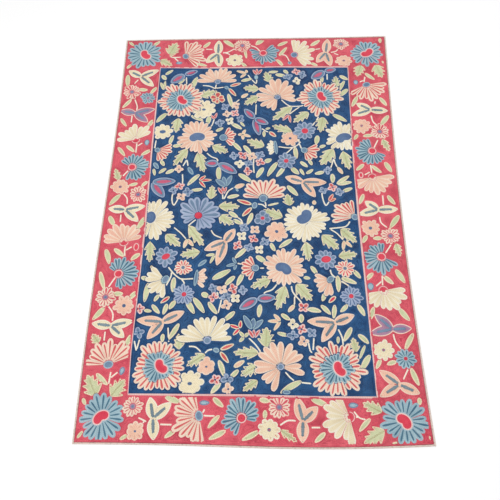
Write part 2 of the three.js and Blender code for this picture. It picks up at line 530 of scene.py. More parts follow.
# x, y, tip x, tip y, width
PLAIN_LEAVES = [
    # Far border
    (-242, 862, -212, 894, 20),
    (-147, 904, -96, 860, 22),
    (-61, 764, -34, 737, 16),
    (-50, 845, -40, 790, 14),
    (40, 908, 5, 873, 26),
    (107, 865, 152, 888, 18),
    (113, 805, 147, 853, 18),
    (100, 778, 128, 738, 18),
    (260, 862, 302, 894, 20),
    (255, 757, 286, 741, 16),
    (-270, 765, -222, 748, 16),
    (-396, 812, -360, 845, 18),
    (-478, 877, -450, 903, 18),
    (-590, 740, -570, 765, 16),
    (-603, 908, -568, 876, 14),
    (584, 900, 583, 872, 15),
    (580, 762, 586, 745, 9),
    # Left border
    (-581, 698, -575, 632, 22),
    (-524, 615, -484, 610, 20),
    (-467, 592, -443, 627, 18),
    (-554, 558, -588, 512, 18),
    (-588, 452, -560, 410, 16),
    (-463, 405, -442, 445, 20),
    (-583, 297, -551, 254, 18),
    (-548, 305, -513, 274, 18),
    (-443, 283, -481, 258, 18),
    (-484, 117, -518, 108, 16),
    (-443, 125, -465, 100, 16),
    (-551, 61, -588, 15, 22),
    (-581, -38, -557, -80, 22),
    (-440, -45, -465, -97, 22),
    (-546, -185, -508, -217, 20),
    (-580, -188, -561, -247, 22),
    (-444, -207, -476, -233, 20),
    (-589, -284, -567, -352, 20),
    (-529, -371, -493, -371, 20),
    (-443, -365, -467, -395, 20),
    (-559, -427, -595, -474, 22),
    (-448, -534, -465, -581, 20),
    (-554, -676, -512, -714, 20),
    (-592, -762, -580, -784, 14),
    (-594, -895, -578, -872, 12),
    # Right border
    (500, 690, 538, 653, 18),
    (452, 556, 427, 503, 20),
    (552, 548, 577, 505, 20),
    (579, 449, 541, 398, 22),
    (501, 345, 464, 342, 18),
    (440, 352, 424, 326, 16),
    (454, 200, 423, 172, 18),
    (490, 192, 525, 159, 18),
    (544, 208, 566, 162, 22),
    (443, 55, 424, 11, 18),
    (541, 48, 566, 8, 20),
    (574, -45, 537, -97, 22),
    (499, -145, 466, -145, 18),
    (443, -132, 426, -163, 18),
    (453, -292, 427, -320, 18),
    (493, -303, 526, -335, 20),
    (541, -279, 568, -330, 22),
    (443, -428, 425, -478, 18),
    (539, -434, 570, -478, 22),
    (577, -530, 543, -589, 20),
    (452, -622, 434, -656, 16),
    (506, -632, 474, -642, 18),
    (557, -656, 577, -714, 20),
    (574, -757, 574, -780, 16),
    (592, -882, 602, -900, 12),
    (458, -912, 486, -902, 10),
    # Near border
    (-303, -754, -250, -774, 22),
    (-259, -862, -297, -892, 18),
    (-448, -898, -417, -880, 14),
    (-114, -820, -150, -860, 18),
    (-135, -760, -101, -789, 20),
    (-92, -869, -146, -896, 20),
    (21, -870, -34, -898, 20),
    (43, -801, 41, -830, 16),
    (25, -765, 58, -772, 20),
    (205, -763, 259, -785, 22),
    (244, -874, 210, -904, 18),
    (399, -829, 361, -869, 18),
    # Far part of the field
    (-408, 700, -376, 725, 16),
    (-424, 694, -405, 668, 20),
    (-411, 612, -428, 652, 16),
    (-410, 612, -407, 660, 14),
    (-280, 620, -262, 680, 24),
    (-345, 645, -318, 672, 22),
    (-60, 656, -14, 668, 18),
    (-118, 579, -99, 508, 20),
    (64, 706, 105, 709, 16),
    (95, 690, 140, 680, 20),
    (133, 716, 152, 697, 18),
    (384, 677, 418, 655, 20),
    (413, 598, 378, 560, 22),
    (305, 672, 302, 640, 16),
    (402, 646, 381, 596, 16),
    # Upper middle of the field
    (-390, 475, -428, 430, 22),
    (-277, 462, -226, 436, 20),
    (-362, 315, -349, 358, 18),
    (-348, 303, -312, 308, 18),
    (-395, 229, -379, 202, 18),
    (-422, 187, -415, 155, 14),
    (-370, 188, -398, 165, 16),
    (-336, 181, -369, 163, 18),
    (-229, 155, -274, 105, 20),
    (-213, 86, -258, 82, 16),
    (-198, 458, -206, 414, 22),
    (-98, 415, -56, 388, 20),
    (-60, 425, -42, 402, 12),
    (-166, 379, -136, 396, 16),
    (-90, 315, -55, 274, 20),
    (-149, 190, -145, 130, 22),
    (-45, 299, -16, 258, 20),
    (43, 218, 72, 230, 22),
    (38, 186, 12, 140, 22),
    (-63, 156, -12, 119, 22),
    (173, 288, 178, 232, 20),
    (95, 211, 57, 148, 22),
    (124, 189, 92, 144, 20),
    (156, 187, 185, 156, 22),
    (41, 375, 42, 345, 14),
    (48, 385, 68, 392, 12),
    (270, 347, 262, 305, 22),
    (277, 287, 302, 297, 16),
    (228, 223, 240, 198, 16),
    (343, 458, 397, 423, 22),
    (322, 153, 322, 112, 20),
    (362, 70, 400, 85, 18),
    (288, 165, 251, 156, 18),
    (-107, 45, -61, 55, 18),
    (138, 97, 177, 53, 22),
    (216, 158, 244, 178, 16),
    (192, 180, 207, 150, 14),
    (194, 215, 222, 190, 18),
    # Lower middle of the field
    (-98, -21, -64, -45, 20),
    (-80, -57, -48, -76, 18),
    (-8, -29, -26, -78, 20),
    (-31, -185, -71, -225, 20),
    (68, -163, 84, -196, 18),
    (149, -148, 100, -182, 20),
    (-153, -312, -90, -277, 24),
    (-72, -304, -107, -341, 20),
    (-39, -292, -61, -340, 20),
    (11, -220, 47, -245, 22),
    (54, 6, 105, 19, 10),
    (-395, -258, -376, -289, 16),
    (-428, -304, -399, -312, 18),
    (-302, -308, -304, -365, 20),
    (-355, -378, -371, -403, 16),
    (220, -263, 243, -298, 18),
    (191, -309, 215, -313, 14),
    (319, -304, 319, -366, 20),
    (335, -312, 388, -333, 20),
    (381, -280, 405, -312, 18),
    (268, -371, 257, -403, 18),
    (-400, -332, -408, -403, 22),
    # Near part of the field
    (-293, -402, -313, -433, 20),
    (-252, -398, -220, -450, 22),
    (-223, -392, -183, -447, 22),
    (-166, -407, -134, -452, 20),
    (-70, -445, -110, -480, 20),
    (26, -418, 21, -465, 20),
    (175, -455, 175, -487, 20),
    (90, -525, 132, -535, 16),
    (-121, -629, -103, -683, 20),
    (-52, -662, -82, -690, 18),
    (-114, -707, -145, -743, 20),
    (168, -703, 99, -741, 22),
    (-274, -492, -306, -549, 20),
    (-328, -530, -328, -560, 16),
    (-377, -417, -348, -450, 18),
    (-323, -414, -334, -454, 18),
    (-406, -438, -378, -442, 14),
    (-194, -372, -168, -386, 22),
    (202, -436, 250, -445, 20),
    (252, -421, 284, -455, 18),
    (301, -420, 295, -470, 18),
    (348, -418, 321, -445, 18),
    (386, -420, 408, -461, 20),
    (357, -507, 328, -556, 20),
    (307, -540, 305, -565, 12),
    (381, -534, 414, -566, 20),
    (415, -610, 383, -663, 22),
    (105, -454, 136, -476, 18),
    (401, -574, 379, -621, 12),
]

# x, y, tip x, tip y, width
BROAD_LEAVES = [
    # Border
    (-564, 133, -585, 195, 30),
    (544, 328, 568, 261, 32),
    (550, -167, 565, -225, 30),
    (94, -865, 154, -905, 26),
    (482, 738, 462, 671, 46),
    (548, 738, 575, 661, 56),
    (-400, 822, -368, 896, 58),
    (-440, 787, -378, 751, 38),
    (-562, -563, -590, -527, 36),
    (-548, -752, -590, -678, 58),
    (-497, -755, -450, -695, 56),
    (441, -807, 377, -772, 46),
    (445, -866, 370, -907, 48),
    # Field
    (-248, 572, -166, 601, 42),
    (-335, 450, -340, 370, 45),
    (-283, 286, -344, 200, 44),
    (-239, 272, -208, 166, 48),
    (-182, 302, -109, 267, 42),
    (41, 293, -34, 333, 42),
    (165, 508, 76, 430, 42),
    (162, 372, 72, 404, 42),
    (235, 475, 165, 417, 42),
    (298, 446, 282, 363, 46),
    (362, 610, 366, 678, 40),
    (333, 280, 276, 197, 52),
    (375, 267, 394, 172, 46),
    (70, 645, 48, 710, 40),
    (18, 608, -54, 615, 40),
    (14, 565, -50, 521, 44),
    (-143, 2, -54, 5, 40),
    (-138, -37, -77, -81, 44),
    (114, -49, 35, -11, 44),
    (143, 5, 136, 62, 42),
    (-176, 38, -172, 105, 40),
    (-261, -84, -192, -174, 44),
    (-347, -120, -286, -177, 46),
    (-408, -151, -403, -244, 40),
    (-208, -200, -288, -212, 42),
    (68, -312, -14, -347, 42),
    (120, -343, 86, -440, 46),
    (162, -335, 220, -403, 50),
    (340, -104, 404, -162, 46),
    (267, -129, 332, -191, 52),
    (203, -158, 214, -244, 44),
    (327, -221, 402, -210, 40),
    (46, -581, 50, -502, 48),
    (21, -603, -74, -596, 40),
    (17, -645, -45, -685, 42),
    (17, -698, -37, -738, 34),
    (-266, -588, -272, -526, 40),
    (-172, -605, -240, -650, 42),
    (368, -597, 360, -541, 38),
]

# points, from the flower or branch to the end
STEMS = [
    # Far border
    [(-345, 803), (-385, 803), (-397, 814)],
    [(-375, 800), (-353, 775)],
    [(-230, 850), (-198, 848)],
    [(-150, 825), (-125, 830), (-95, 850)],
    [(-150, 825), (-125, 820), (-112, 803)],
    [(-20, 868), (5, 855), (25, 830)],
    [(108, 805), (140, 805), (158, 770)],
    [(280, 838), (303, 842)],
    [(350, 818), (375, 825), (388, 845)],
    [(365, 812), (385, 803)],
    # Right border
    [(496, 670), (490, 640)],
    [(470, 640), (488, 648)],
    [(531, 530), (527, 515)],
    [(506, 452), (512, 418), (528, 398)],
    [(524, 322), (505, 283)],
    [(483, 197), (485, 160), (483, 146)],
    [(455, 148), (478, 162)],
    [(520, 50), (519, 5)],
    [(499, -49), (503, -75), (524, -97)],
    [(532, -172), (508, -208)],
    [(487, -292), (485, -345)],
    [(460, -345), (482, -325)],
    [(506, -530), (512, -560), (528, -585)],
    [(545, -658), (525, -694)],
    # Left border
    [(-532, 672), (-548, 648)],
    [(-539, 564), (-523, 520), (-524, 495)],
    [(-540, 467), (-541, 430)],
    [(-505, 322), (-505, 270)],
    [(-500, 305), (-481, 320)],
    [(-529, 180), (-548, 153)],
    [(-538, 69), (-520, 45), (-517, 18)],
    [(-537, -30), (-536, -65)],
    [(-503, -158), (-505, -190), (-502, -215)],
    [(-500, -190), (-478, -175)],
    [(-529, -304), (-554, -350)],
    [(-545, -418), (-523, -450), (-521, -480)],
    [(-543, -520), (-543, -555)],
    [(-505, -669), (-508, -712)],
    [(-503, -690), (-480, -670)],
    # Near border
    [(-392, -827), (-363, -840)],
    [(-385, -853), (-370, -840)],
    [(-315, -849), (-275, -850)],
    [(-165, -797), (-168, -818), (-114, -820)],
    [(94, -850), (120, -835), (148, -835)],
    [(346, -803), (365, -825), (399, -832)],
    [(330, -815), (365, -825)],
    [(200, -857), (230, -857)],
    # Field
    [(-235, 632), (-205, 628), (-175, 612)],
    [(-173, 640), (-173, 617), (-128, 623)],
    [(-32, 690), (-8, 655), (6, 640), (9, 668)],
    [(7, 521), (5, 464)],
    [(118, 545), (140, 520), (160, 508), (200, 508), (215, 512)],
    [(197, 503), (175, 485), (153, 465)],
    [(-176, 443), (-185, 410), (-195, 400)],
    [(-423, 333), (-426, 292)],
    [(-299, 200), (-285, 229), (-278, 200)],
    [(-299, 160), (-296, 120), (-305, 105)],
    [(-201, 264), (-180, 245), (-158, 235), (-153, 222)],
    [(102, 293), (150, 287), (180, 298), (197, 318)],
    [(162, 286), (134, 258)],
    [(192, 345), (190, 315), (200, 280)],
    [(-1, 254), (-3, 200), (0, 162)],
    [(20, 400), (30, 390), (50, 375), (60, 370)],
    [(-128, 60), (-127, 38)],
    [(-83, 92), (-105, 75), (-122, 38)],
    [(-331, 82), (-335, 40), (-325, 11), (-310, 40), (-300, 48)],
    [(-232, -56), (-250, -72), (-261, -84)],
    [(-318, -91), (-290, -115), (-267, -142)],
    [(-169, -104), (-155, -125), (-125, -139)],
    [(-64, -48), (-50, -60), (-42, -85)],
    [(16, 14), (35, 10), (48, -2), (51, -2)],
    [(44, 30), (50, 0)],
    [(-328, -263), (-310, -285), (-290, -304), (-270, -313), (-223, -311)],
    [(-318, -270), (-315, -300), (-331, -340)],
    [(-285, -306), (-265, -325), (-260, -345)],
    [(22, -269), (41, -269)],
    [(-62, -248), (-47, -252)],
    [(89, -336), (70, -358), (45, -368), (28, -387)],
    [(143, -343), (150, -370), (181, -410)],
    [(155, -375), (153, -418)],
    [(-137, -366), (-127, -390), (-120, -400), (-130, -450)],
    [(333, 232), (325, 205), (318, 184)],
    [(333, 232), (338, 205), (345, 188)],
    [(276, 70), (278, 40), (289, 5), (305, 25)],
    [(381, -68), (370, -85), (353, -94), (298, -100)],
    [(302, -104), (325, -120), (349, -150)],
    [(292, -276), (302, -301), (359, -343)],
    [(300, -290), (296, -315)],
    [(279, 449), (262, 420), (250, 401)],
    [(327, 690), (326, 655)],
    [(-312, 682), (-308, 632)],
    [(-312, -505), (-306, -560)],
    [(-421, -592), (-432, -555)],
    [(-421, -592), (-413, -550)],
    [(115, -669), (140, -695), (170, -705), (205, -709)],
    [(-15, -545), (10, -570), (28, -596)],
    [(-232, -576), (-205, -580), (-176, -608)],
    [(-136, -586), (-160, -590), (-174, -604)],
    [(310, -512), (322, -545), (324, -578)],
    [(220, -545), (216, -590)],
    [(200, -560), (205, -590), (212, -600)],
    [(-68, 549), (-85, 530), (-92, 510), (-100, 500)],
]

# x, y, yarn
CROSSES = [
    (-123, 471, "peach"),
    (-82, 518, "peach"),
    (-315, 184, "peach"),
    (-299, 53, "peach"),
    (-10, 246, "peach"),
    (4, -102, "peach"),
    (-117, -357, "peach"),
    (-99, -420, "peach"),
    (185, -558, "peach"),
    (-85, -729, "peach"),
    (-109, 430, "cream"),
    (188, 652, "cream"),
    (-61, 210, "cream"),
    (-47, -131, "cream"),
    (22, -191, "cream"),
    (-66, -392, "cream"),
    (145, -494, "cream"),
    (-85, 474, "salmon"),
    (188, 706, "salmon"),
    (-306, 101, "salmon"),
    (-48, 251, "salmon"),
    (24, 216, "salmon"),
    (-26, 171, "salmon"),
    (321, 89, "salmon"),
    (-2, -142, "salmon"),
    (-63, -171, "salmon"),
    (-77, -354, "salmon"),
    (-150, -387, "salmon"),
    (-423, -432, "salmon"),
    (186, -429, "salmon"),
    (177, -512, "salmon"),
    (-132, -696, "salmon"),
    (-131, 509, "sky"),
    (-63, 441, "sky"),
    (-152, 422, "sky"),
    (215, 687, "sky"),
    (150, 675, "sky"),
    (-331, 82, "sky"),
    (-271, 73, "sky"),
    (-85, 250, "sky"),
    (25, 253, "sky"),
    (-24, 211, "sky"),
    (305, 172, "sky"),
    (282, 76, "sky"),
    (349, 66, "sky"),
    (-39, -91, "sky"),
    (44, -156, "sky"),
    (-18, -180, "sky"),
    (-152, -351, "sky"),
    (-39, -359, "sky"),
    (-102, -387, "sky"),
    (-419, -525, "sky"),
    (146, -536, "sky"),
    (214, -527, "sky"),
    (-90, -694, "sky"),
]


# Places and outlines


def face_outline():
    """The outline of the face in millimetres, and the middle of its four corners"""
    points = np.array([v.co[:2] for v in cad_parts["rug_face"].data.vertices]) / MM
    points = np.unique(points.round(3), axis=0)
    signs = ((-1, -1), (1, -1), (1, 1), (-1, 1))
    corners = [points[np.argmax(points @ np.array(sign))] for sign in signs]
    return points, np.mean(corners, axis=0)


OUTLINE, RUG_CENTRE = face_outline()


def sorted_side(chosen, along):
    """One side of the outline, sorted along the side, from the middle of the corners"""
    side = OUTLINE[chosen] - RUG_CENTRE
    return side[np.argsort(side[:, along])]


SIDE_LEFT = sorted_side(OUTLINE[:, 0] < -SIDE_REACH_X, 1)
SIDE_RIGHT = sorted_side(OUTLINE[:, 0] > SIDE_REACH_X, 1)
SIDE_NEAR = sorted_side(OUTLINE[:, 1] < -SIDE_REACH_Y, 0)
SIDE_FAR = sorted_side(OUTLINE[:, 1] > SIDE_REACH_Y, 0)


def edge_left(y):
    return np.interp(y, SIDE_LEFT[:, 1], SIDE_LEFT[:, 0])


def edge_right(y):
    return np.interp(y, SIDE_RIGHT[:, 1], SIDE_RIGHT[:, 0])


def edge_near(x):
    return np.interp(x, SIDE_NEAR[:, 0], SIDE_NEAR[:, 1])


def edge_far(x):
    return np.interp(x, SIDE_FAR[:, 0], SIDE_FAR[:, 1])


def guard_at(table, place):
    """Where a guard line stands at each place along its side"""
    along, offset = np.array(table, float).T
    return np.interp(place, along, offset)


def in_field(points, inset=0.0):
    """Whether each point lies inside the guard line"""
    x, y = points[:, 0], points[:, 1]
    across = (x > guard_at(GUARD_LEFT, y) + inset) & (x < guard_at(GUARD_RIGHT, y) - inset)
    return across & (y > guard_at(GUARD_NEAR, x) + inset) & (y < guard_at(GUARD_FAR, x) - inset)


def in_rug(points, inset=0.0):
    """Whether each point lies inside the outline of the face"""
    x, y = points[:, 0], points[:, 1]
    across = (x > edge_left(y) + inset) & (x < edge_right(y) - inset)
    return across & (y > edge_near(x) + inset) & (y < edge_far(x) - inset)


# Lines round the places where a grid of values is high

# The sides of a cell that a line crosses, in pairs, by which of its corners are above the level:
# top left counts 1, top right 2, bottom right 4 and bottom left 8
CROSSED_SIDES = {
    1: "lt", 2: "tr", 3: "lr", 4: "rb", 5: "ltrb", 6: "tb", 7: "lb",
    8: "lb", 9: "tb", 10: "trlb", 11: "rb", 12: "lr", 13: "tr", 14: "lt",
}


def contour(field, level):
    """The lines along which a grid of values crosses a level, as lists of points in cells"""
    above = field > level
    lines = {}
    crossings = {}

    def crossing(row, column, down):
        """Notes where the line passes between one place and the next, to the right or down"""
        key = (row, column, down)
        if key not in crossings:
            a = field[row, column]
            b = field[row + down, column + 1 - down]
            share = (level - a) / (b - a)
            crossings[key] = (column + share * (1 - down), row + share * down)
        return key

    corner = above[:-1, :-1] + 2 * above[:-1, 1:] + 4 * above[1:, 1:] + 8 * above[1:, :-1]
    for row, column in zip(*np.nonzero((corner > 0) & (corner < 15))):
        row, column = int(row), int(column)
        edges = {
            "t": (row, column, 0),
            "b": (row + 1, column, 0),
            "l": (row, column, 1),
            "r": (row, column + 1, 1),
        }
        pair = CROSSED_SIDES[int(corner[row, column])]
        for k in range(0, len(pair), 2):
            a, b = crossing(*edges[pair[k]]), crossing(*edges[pair[k + 1]])
            lines.setdefault(a, []).append(b)
            lines.setdefault(b, []).append(a)
    return follow(lines, crossings)


def follow(lines, crossings):
    """Joins short steps into whole closed lines"""
    found = []
    unused = set(lines)
    for key in sorted(lines):
        if key not in unused:
            continue
        chain = [key]
        unused.discard(key)
        while True:
            ahead = [k for k in lines[chain[-1]] if k in unused]
            if not ahead:
                break
            chain.append(ahead[0])
            unused.discard(ahead[0])
        found.append(np.array([crossings[k] for k in chain]))
    return found


# Rows of chain stitch


def evenly(points, closed, spacing):
    """The same line with its points at even steps, an even count of them for whole stitches"""
    if closed:
        points = np.vstack([points, points[:1]])
    steps = np.hypot(*np.diff(points[:, :2], axis=0).T)
    travelled = np.concatenate([[0.0], np.cumsum(steps)])
    count = max(2, 2 * round(travelled[-1] / spacing / 2))
    places = np.linspace(0, travelled[-1], count + 1)
    columns = range(points.shape[1])
    even = np.column_stack([np.interp(places, travelled, points[:, k]) for k in columns])
    return even[:-1] if closed else even


def free_runs(free, closed):
    """Stretches of neighbouring free points, as lists of indices"""
    count = len(free)
    start = int(np.argmin(free)) if closed else 0
    runs = []
    run = []
    for step in range(count):
        index = (start + step) % count
        if free[index]:
            run.append(index)
        elif run:
            runs.append(run)
            run = []
    if run:
        runs.append(run)
    return [run for run in runs if len(run) >= SHORTEST_ROW_POINTS]


class Needlework:
    """Rows of chain stitch, kept by yarn. A row stops where another patch holds the place."""

    def __init__(self):
        self.rows = {}
        shape = (int(2 * GRID_REACH_Y / CELL), int(2 * GRID_REACH_X / CELL))
        self.holder = np.zeros(shape, np.int32)
        self.patch = 0
        self.pending = []
        self.side = "any"
        reach = int(ROW_HOLD / CELL)
        span = np.arange(-reach, reach + 1)
        across, up = np.meshgrid(span, span)
        near = np.hypot(across, up) * CELL <= ROW_HOLD
        self.disc = np.column_stack([up[near], across[near]])

    def cells(self, points):
        """The rows and columns of the grid that the points fall in"""
        columns = ((points[:, 0] + GRID_REACH_X) / CELL).astype(int)
        rows = ((points[:, 1] + GRID_REACH_Y) / CELL).astype(int)
        return rows, columns

    def begin(self, place=None):
        """A new patch, which keeps to the side of the guard line that its place is on"""
        self.patch += 1
        self.pending = []
        self.side = "any"
        if place is not None:
            self.side = "field" if in_field(np.array([place], float))[0] else "border"

    def room(self, points):
        """Motifs keep clear of the guard line and of the rug's edge"""
        if self.side == "any":
            return np.ones(len(points), bool)
        if self.side == "field":
            return in_field(points, FIELD_CLEARANCE)
        return in_rug(points, EDGE_CLEARANCE) & ~in_field(points, -BORDER_CLEARANCE)

    def row(self, yarn, points, closed=False, width=ROW_PITCH, over=False):
        """One row of stitches, as wide all along as its width, or at each point as wide as there"""
        points = np.asarray(points, float)
        line = np.column_stack([points, np.broadcast_to(width, len(points))])
        line = evenly(line, closed, STITCH_LENGTH / POINTS_A_STITCH)
        points, width = line[:, :2], line[:, 2]
        rows, columns = self.cells(points)
        held = self.holder[rows, columns]
        free = self.room(points) & ((held == 0) | (held == self.patch))
        if closed and free.all():
            if len(points) >= SHORTEST_RING_POINTS:
                self.keep(yarn, points, True, width, over)
            return
        for run in free_runs(free, closed):
            self.keep(yarn, points[run], False, width[run], over)

    def keep(self, yarn, points, closed, width, over):
        """Takes in a row that has its place"""
        base = ROW_BASE + OVER_BASE * over
        crest = ROW_CREST + OVER_CREST * over
        self.rows.setdefault(yarn, []).append((points, closed, width, base, crest))
        self.pending.append(points)

    def end(self):
        """Marks the places that this patch now holds"""
        for points in self.pending:
            rows, columns = self.cells(points)
            for up, across in self.disc:
                self.holder[rows + up, columns + across] = self.patch


work = Needlework()


# Outlines of petals and leaves: half the width at each share of the length


def leaf_shape(t):
    """Pointed at its tip"""
    return np.sin(np.pi * t**0.9) ** 0.75


def blunt_shape(t):
    """Rounder at its tip"""
    return np.sin(np.pi * t**0.85) ** 0.6


def full_shape(t):
    """Widest beyond its middle, and round at both ends"""
    return np.sin(np.pi * t**1.1) ** 0.55


def between(start, tip, share):
    """A point some share of the way from one point to another"""
    return np.array(start, float) * (1 - share) + np.array(tip, float) * share


def rounded(points, steps=8):
    """A smooth line through the points"""
    points = np.array(points, float)
    if len(points) < 3:
        return points
    ends = np.vstack([2 * points[0] - points[1], points, 2 * points[-1] - points[-2]])
    t = np.linspace(0, 1, steps, endpoint=False)[:, None]
    line = []
    for before, a, b, after in zip(ends, ends[1:], ends[2:], ends[3:]):
        bend = 2 * before - 5 * a + 4 * b - after
        turn = 3 * a - before - 3 * b + after
        line.append(a + 0.5 * ((b - before) * t + bend * t**2 + turn * t**3))
    return np.vstack([*line, points[-1:]])


def inset_outline(s, half, inset):
    """A half outline moved inwards, square to itself"""
    slope = np.gradient(half, s)
    lean = np.sqrt(1 + slope**2)
    return s + inset * slope / lean, half - inset / lean


def yarn_at(yarns, level):
    """The yarn of a row, which is the last one for all rows further in"""
    return yarns[min(level, len(yarns) - 1)]


def depth_inside(outline, place):
    """How far inside an outline each place is, below zero for those outside"""
    inside = np.zeros(len(place), bool)
    nearest = np.full(len(place), 1e9)
    for a, b in zip(outline, np.roll(outline, -1, axis=0)):
        step = b - a
        share = np.clip((place - a) @ step / max(step @ step, 1e-9), 0, 1)
        nearest = np.minimum(nearest, np.hypot(*(place - a - share[:, None] * step).T))
        crosses = (a[1] > place[:, 1]) != (b[1] > place[:, 1])
        rise = step[1] if step[1] else 1e-9
        inside ^= crosses & (place[:, 0] < a[0] + (place[:, 1] - a[1]) * step[0] / rise)
    return np.where(inside, nearest, -nearest)


def patch(outlines, yarns, pitch=ROW_PITCH, over=False):
    """Rows that follow the edge of one or more joined outlines inwards, one yarn for each row"""
    points = np.vstack(outlines)
    low = points.min(axis=0) - 2 * CELL
    across, up = (np.ptp(points, axis=0) / CELL + 5).astype(int)
    column, row = np.meshgrid(np.arange(across), np.arange(up))
    place = low + np.column_stack([column.ravel(), row.ravel()]) * CELL
    depth = np.max([depth_inside(outline, place) for outline in outlines], axis=0)
    depth = depth.reshape(up, across)
    # The innermost row lies a little short of the deepest place
    levels = max(1, round(depth.max() / pitch + 0.2))
    spacing = depth.max() / (levels - 0.1)
    for level in range(levels):
        for line in contour(depth, (level + 0.5) * spacing):
            if len(line) >= SHORTEST_LINE_POINTS:
                width = spacing * (INNER_FULLNESS if level else 1)
                work.row(yarn_at(yarns, level), low + line * CELL, True, width, over)


def lobe(start, tip, width, yarns, shape=leaf_shape, bow=0.0):
    """Rows that fill a leaf from its outline inwards, and one along its middle"""
    start, tip = np.array(start, float), np.array(tip, float)
    along = tip - start
    across = np.array([-along[1], along[0]]) / np.hypot(*along)
    t = np.linspace(0, 1, LEAF_POINTS)
    middle = start + np.outer(t, along) + np.outer(bow * 4 * t * (1 - t), across)
    work.begin(middle[len(middle) // 2])
    patch([leaf_outline(middle, width, shape)], yarns)
    work.row(yarns[-1], middle[LEAF_CORE])
    work.end()


def leaf_outline(middle, width, shape):
    """The outline of a leaf that bends with its own middle line"""
    ahead = np.gradient(middle, axis=0)
    across = np.column_stack([-ahead[:, 1], ahead[:, 0]]) / np.hypot(*ahead.T)[:, None]
    half = shape(np.linspace(0, 1, len(middle)))[:, None] * width / 2
    left = middle + half * across
    right = middle - half * across
    return np.vstack([left[:-1], right[:0:-1]])


def petal(middle, angle, inner, outer, step, widest, yarns, pitch, core):
    """A petal that widens as its flower does to a long round tip: rows folded round a middle row"""
    ray = np.array([math.cos(angle), math.sin(angle)])
    across = np.array([-ray[1], ray[0]])
    tip = min(TIP_LENGTH * widest, LONGEST_TIP * (outer - inner))
    r = np.linspace(inner, outer, PETAL_POINTS)
    wedge = np.minimum(r * math.tan(step / 2) * PETAL_FULLNESS, widest / 2)
    past = np.maximum(r - (outer - tip), 0) / tip
    half = wedge * np.sqrt(np.maximum(1 - past**2, 0))
    sides = max(1, round((widest / pitch - core) / 2))
    spacing = widest / (2 * sides + core)
    width = spacing * np.clip(2 * wedge / widest, NARROWEST_ROW, 1)

    def place(s, h):
        return middle + np.outer(s, ray) + np.outer(h, across)

    for level in range(sides):
        s, h = inset_outline(r, half, (level + 0.5) * width)
        good = (h > CLOSEST_FOLD * width) & (s > inner) & (s < outer)
        if good.sum() < SHORTEST_ROW_POINTS:
            break
        fold = np.vstack([place(s[good], h[good]), place(s[good], -h[good])[::-1]])
        wide = np.concatenate([width[good], width[good][::-1]])
        if yarn_at(yarns, level):
            work.row(yarn_at(yarns, level), fold, False, wide * PETAL_ROW_FULLNESS)
    # The middle row is worked only where the folded rows leave it room
    fits = (half > (sides + 0.1 * core) * width) & (r < outer - (sides - 0.1) * spacing)
    if fits.sum() >= SHORTEST_ROW_POINTS and yarns[-1]:
        s = r[fits]
        wide = width[fits] * core * PETAL_ROW_FULLNESS
        work.row(yarns[-1], place(s, np.zeros(len(s))), False, wide)


def oval_ends(oval):
    """The two ends of an oval's long axis"""
    turn = math.radians(oval.turn)
    half = np.array([math.cos(turn), math.sin(turn)]) * oval.length / 2
    middle = np.array([oval.x, oval.y])
    return middle - half, middle + half


def fill_heart(oval, outline, yarns):
    """Rows that fill the middle of a flower, whose outline is given from its own centre"""
    outline += [oval.x, oval.y]
    work.begin((oval.x, oval.y))
    patch([outline], yarns)
    work.end()
    return outline


def heart(oval, yarns):
    """The middle of a flower"""
    start, tip = oval_ends(oval)
    along = (tip - start) / 2
    across = np.array([-along[1], along[0]]) / oval.length * oval.width
    turns = np.linspace(0, 2 * math.pi, HEART_POINTS, endpoint=False)
    outline = np.outer(np.cos(turns), along) + np.outer(np.sin(turns), across)
    return fill_heart(oval, outline, yarns)


def bean(oval, yarns, side):
    """A heart in the shape of a bean: two arcs with round ends, hollow on one side"""
    round_end = BEAN_END * oval.width
    bend = (oval.length / 2 - round_end) / math.sin(BEAN_ARC)
    arc = np.linspace(-BEAN_ARC, BEAN_ARC, BEAN_SIDE_POINTS)
    cap = np.linspace(0, math.pi, BEAN_END_POINTS + 2)[1:-1]
    far = np.column_stack([np.sin(arc), np.cos(arc)]) * (bend + round_end)
    near = np.column_stack([np.sin(arc[::-1]), np.cos(arc[::-1])]) * (bend - round_end)
    caps = []
    for end in (BEAN_ARC, -BEAN_ARC):
        middle = np.array([math.sin(end), math.cos(end)]) * bend
        turns = math.pi / 2 - end - cap if end > 0 else -math.pi / 2 - end - cap
        caps.append(middle + np.column_stack([np.cos(turns), np.sin(turns)]) * round_end)
    outline = np.vstack([far, caps[0], near, caps[1]])
    outline[:, 1] -= bend * (1 + math.cos(BEAN_ARC)) / 2
    outline[:, 1] *= side
    turn = math.radians(oval.turn)
    outline = outline @ [[math.cos(turn), math.sin(turn)], [-math.sin(turn), math.cos(turn)]]
    return fill_heart(oval, outline, yarns)


def distance_to(oval, origin, angle):
    """How far an oval's edge is from a point inside it, in one direction"""
    turn = math.radians(oval.turn)
    off_x, off_y = origin[0] - oval.x, origin[1] - oval.y
    along = (off_x * math.cos(turn) + off_y * math.sin(turn)) / (oval.length / 2)
    across = (off_y * math.cos(turn) - off_x * math.sin(turn)) / (oval.width / 2)
    step_along = math.cos(angle - turn) / (oval.length / 2)
    step_across = math.sin(angle - turn) / (oval.width / 2)
    square = step_along**2 + step_across**2
    cross = step_along * along + step_across * across
    inside = cross**2 - square * (along**2 + across**2 - 1)
    return (math.sqrt(max(0.0, inside)) - cross) / square


def collar(yarn, outline):
    """A row close round a heart"""
    middle = outline.mean(axis=0)
    reach = np.hypot(*(outline - middle).T)[:, None]
    work.row(yarn, middle + (outline - middle) * (1 + COLLAR_REACH / reach), True)


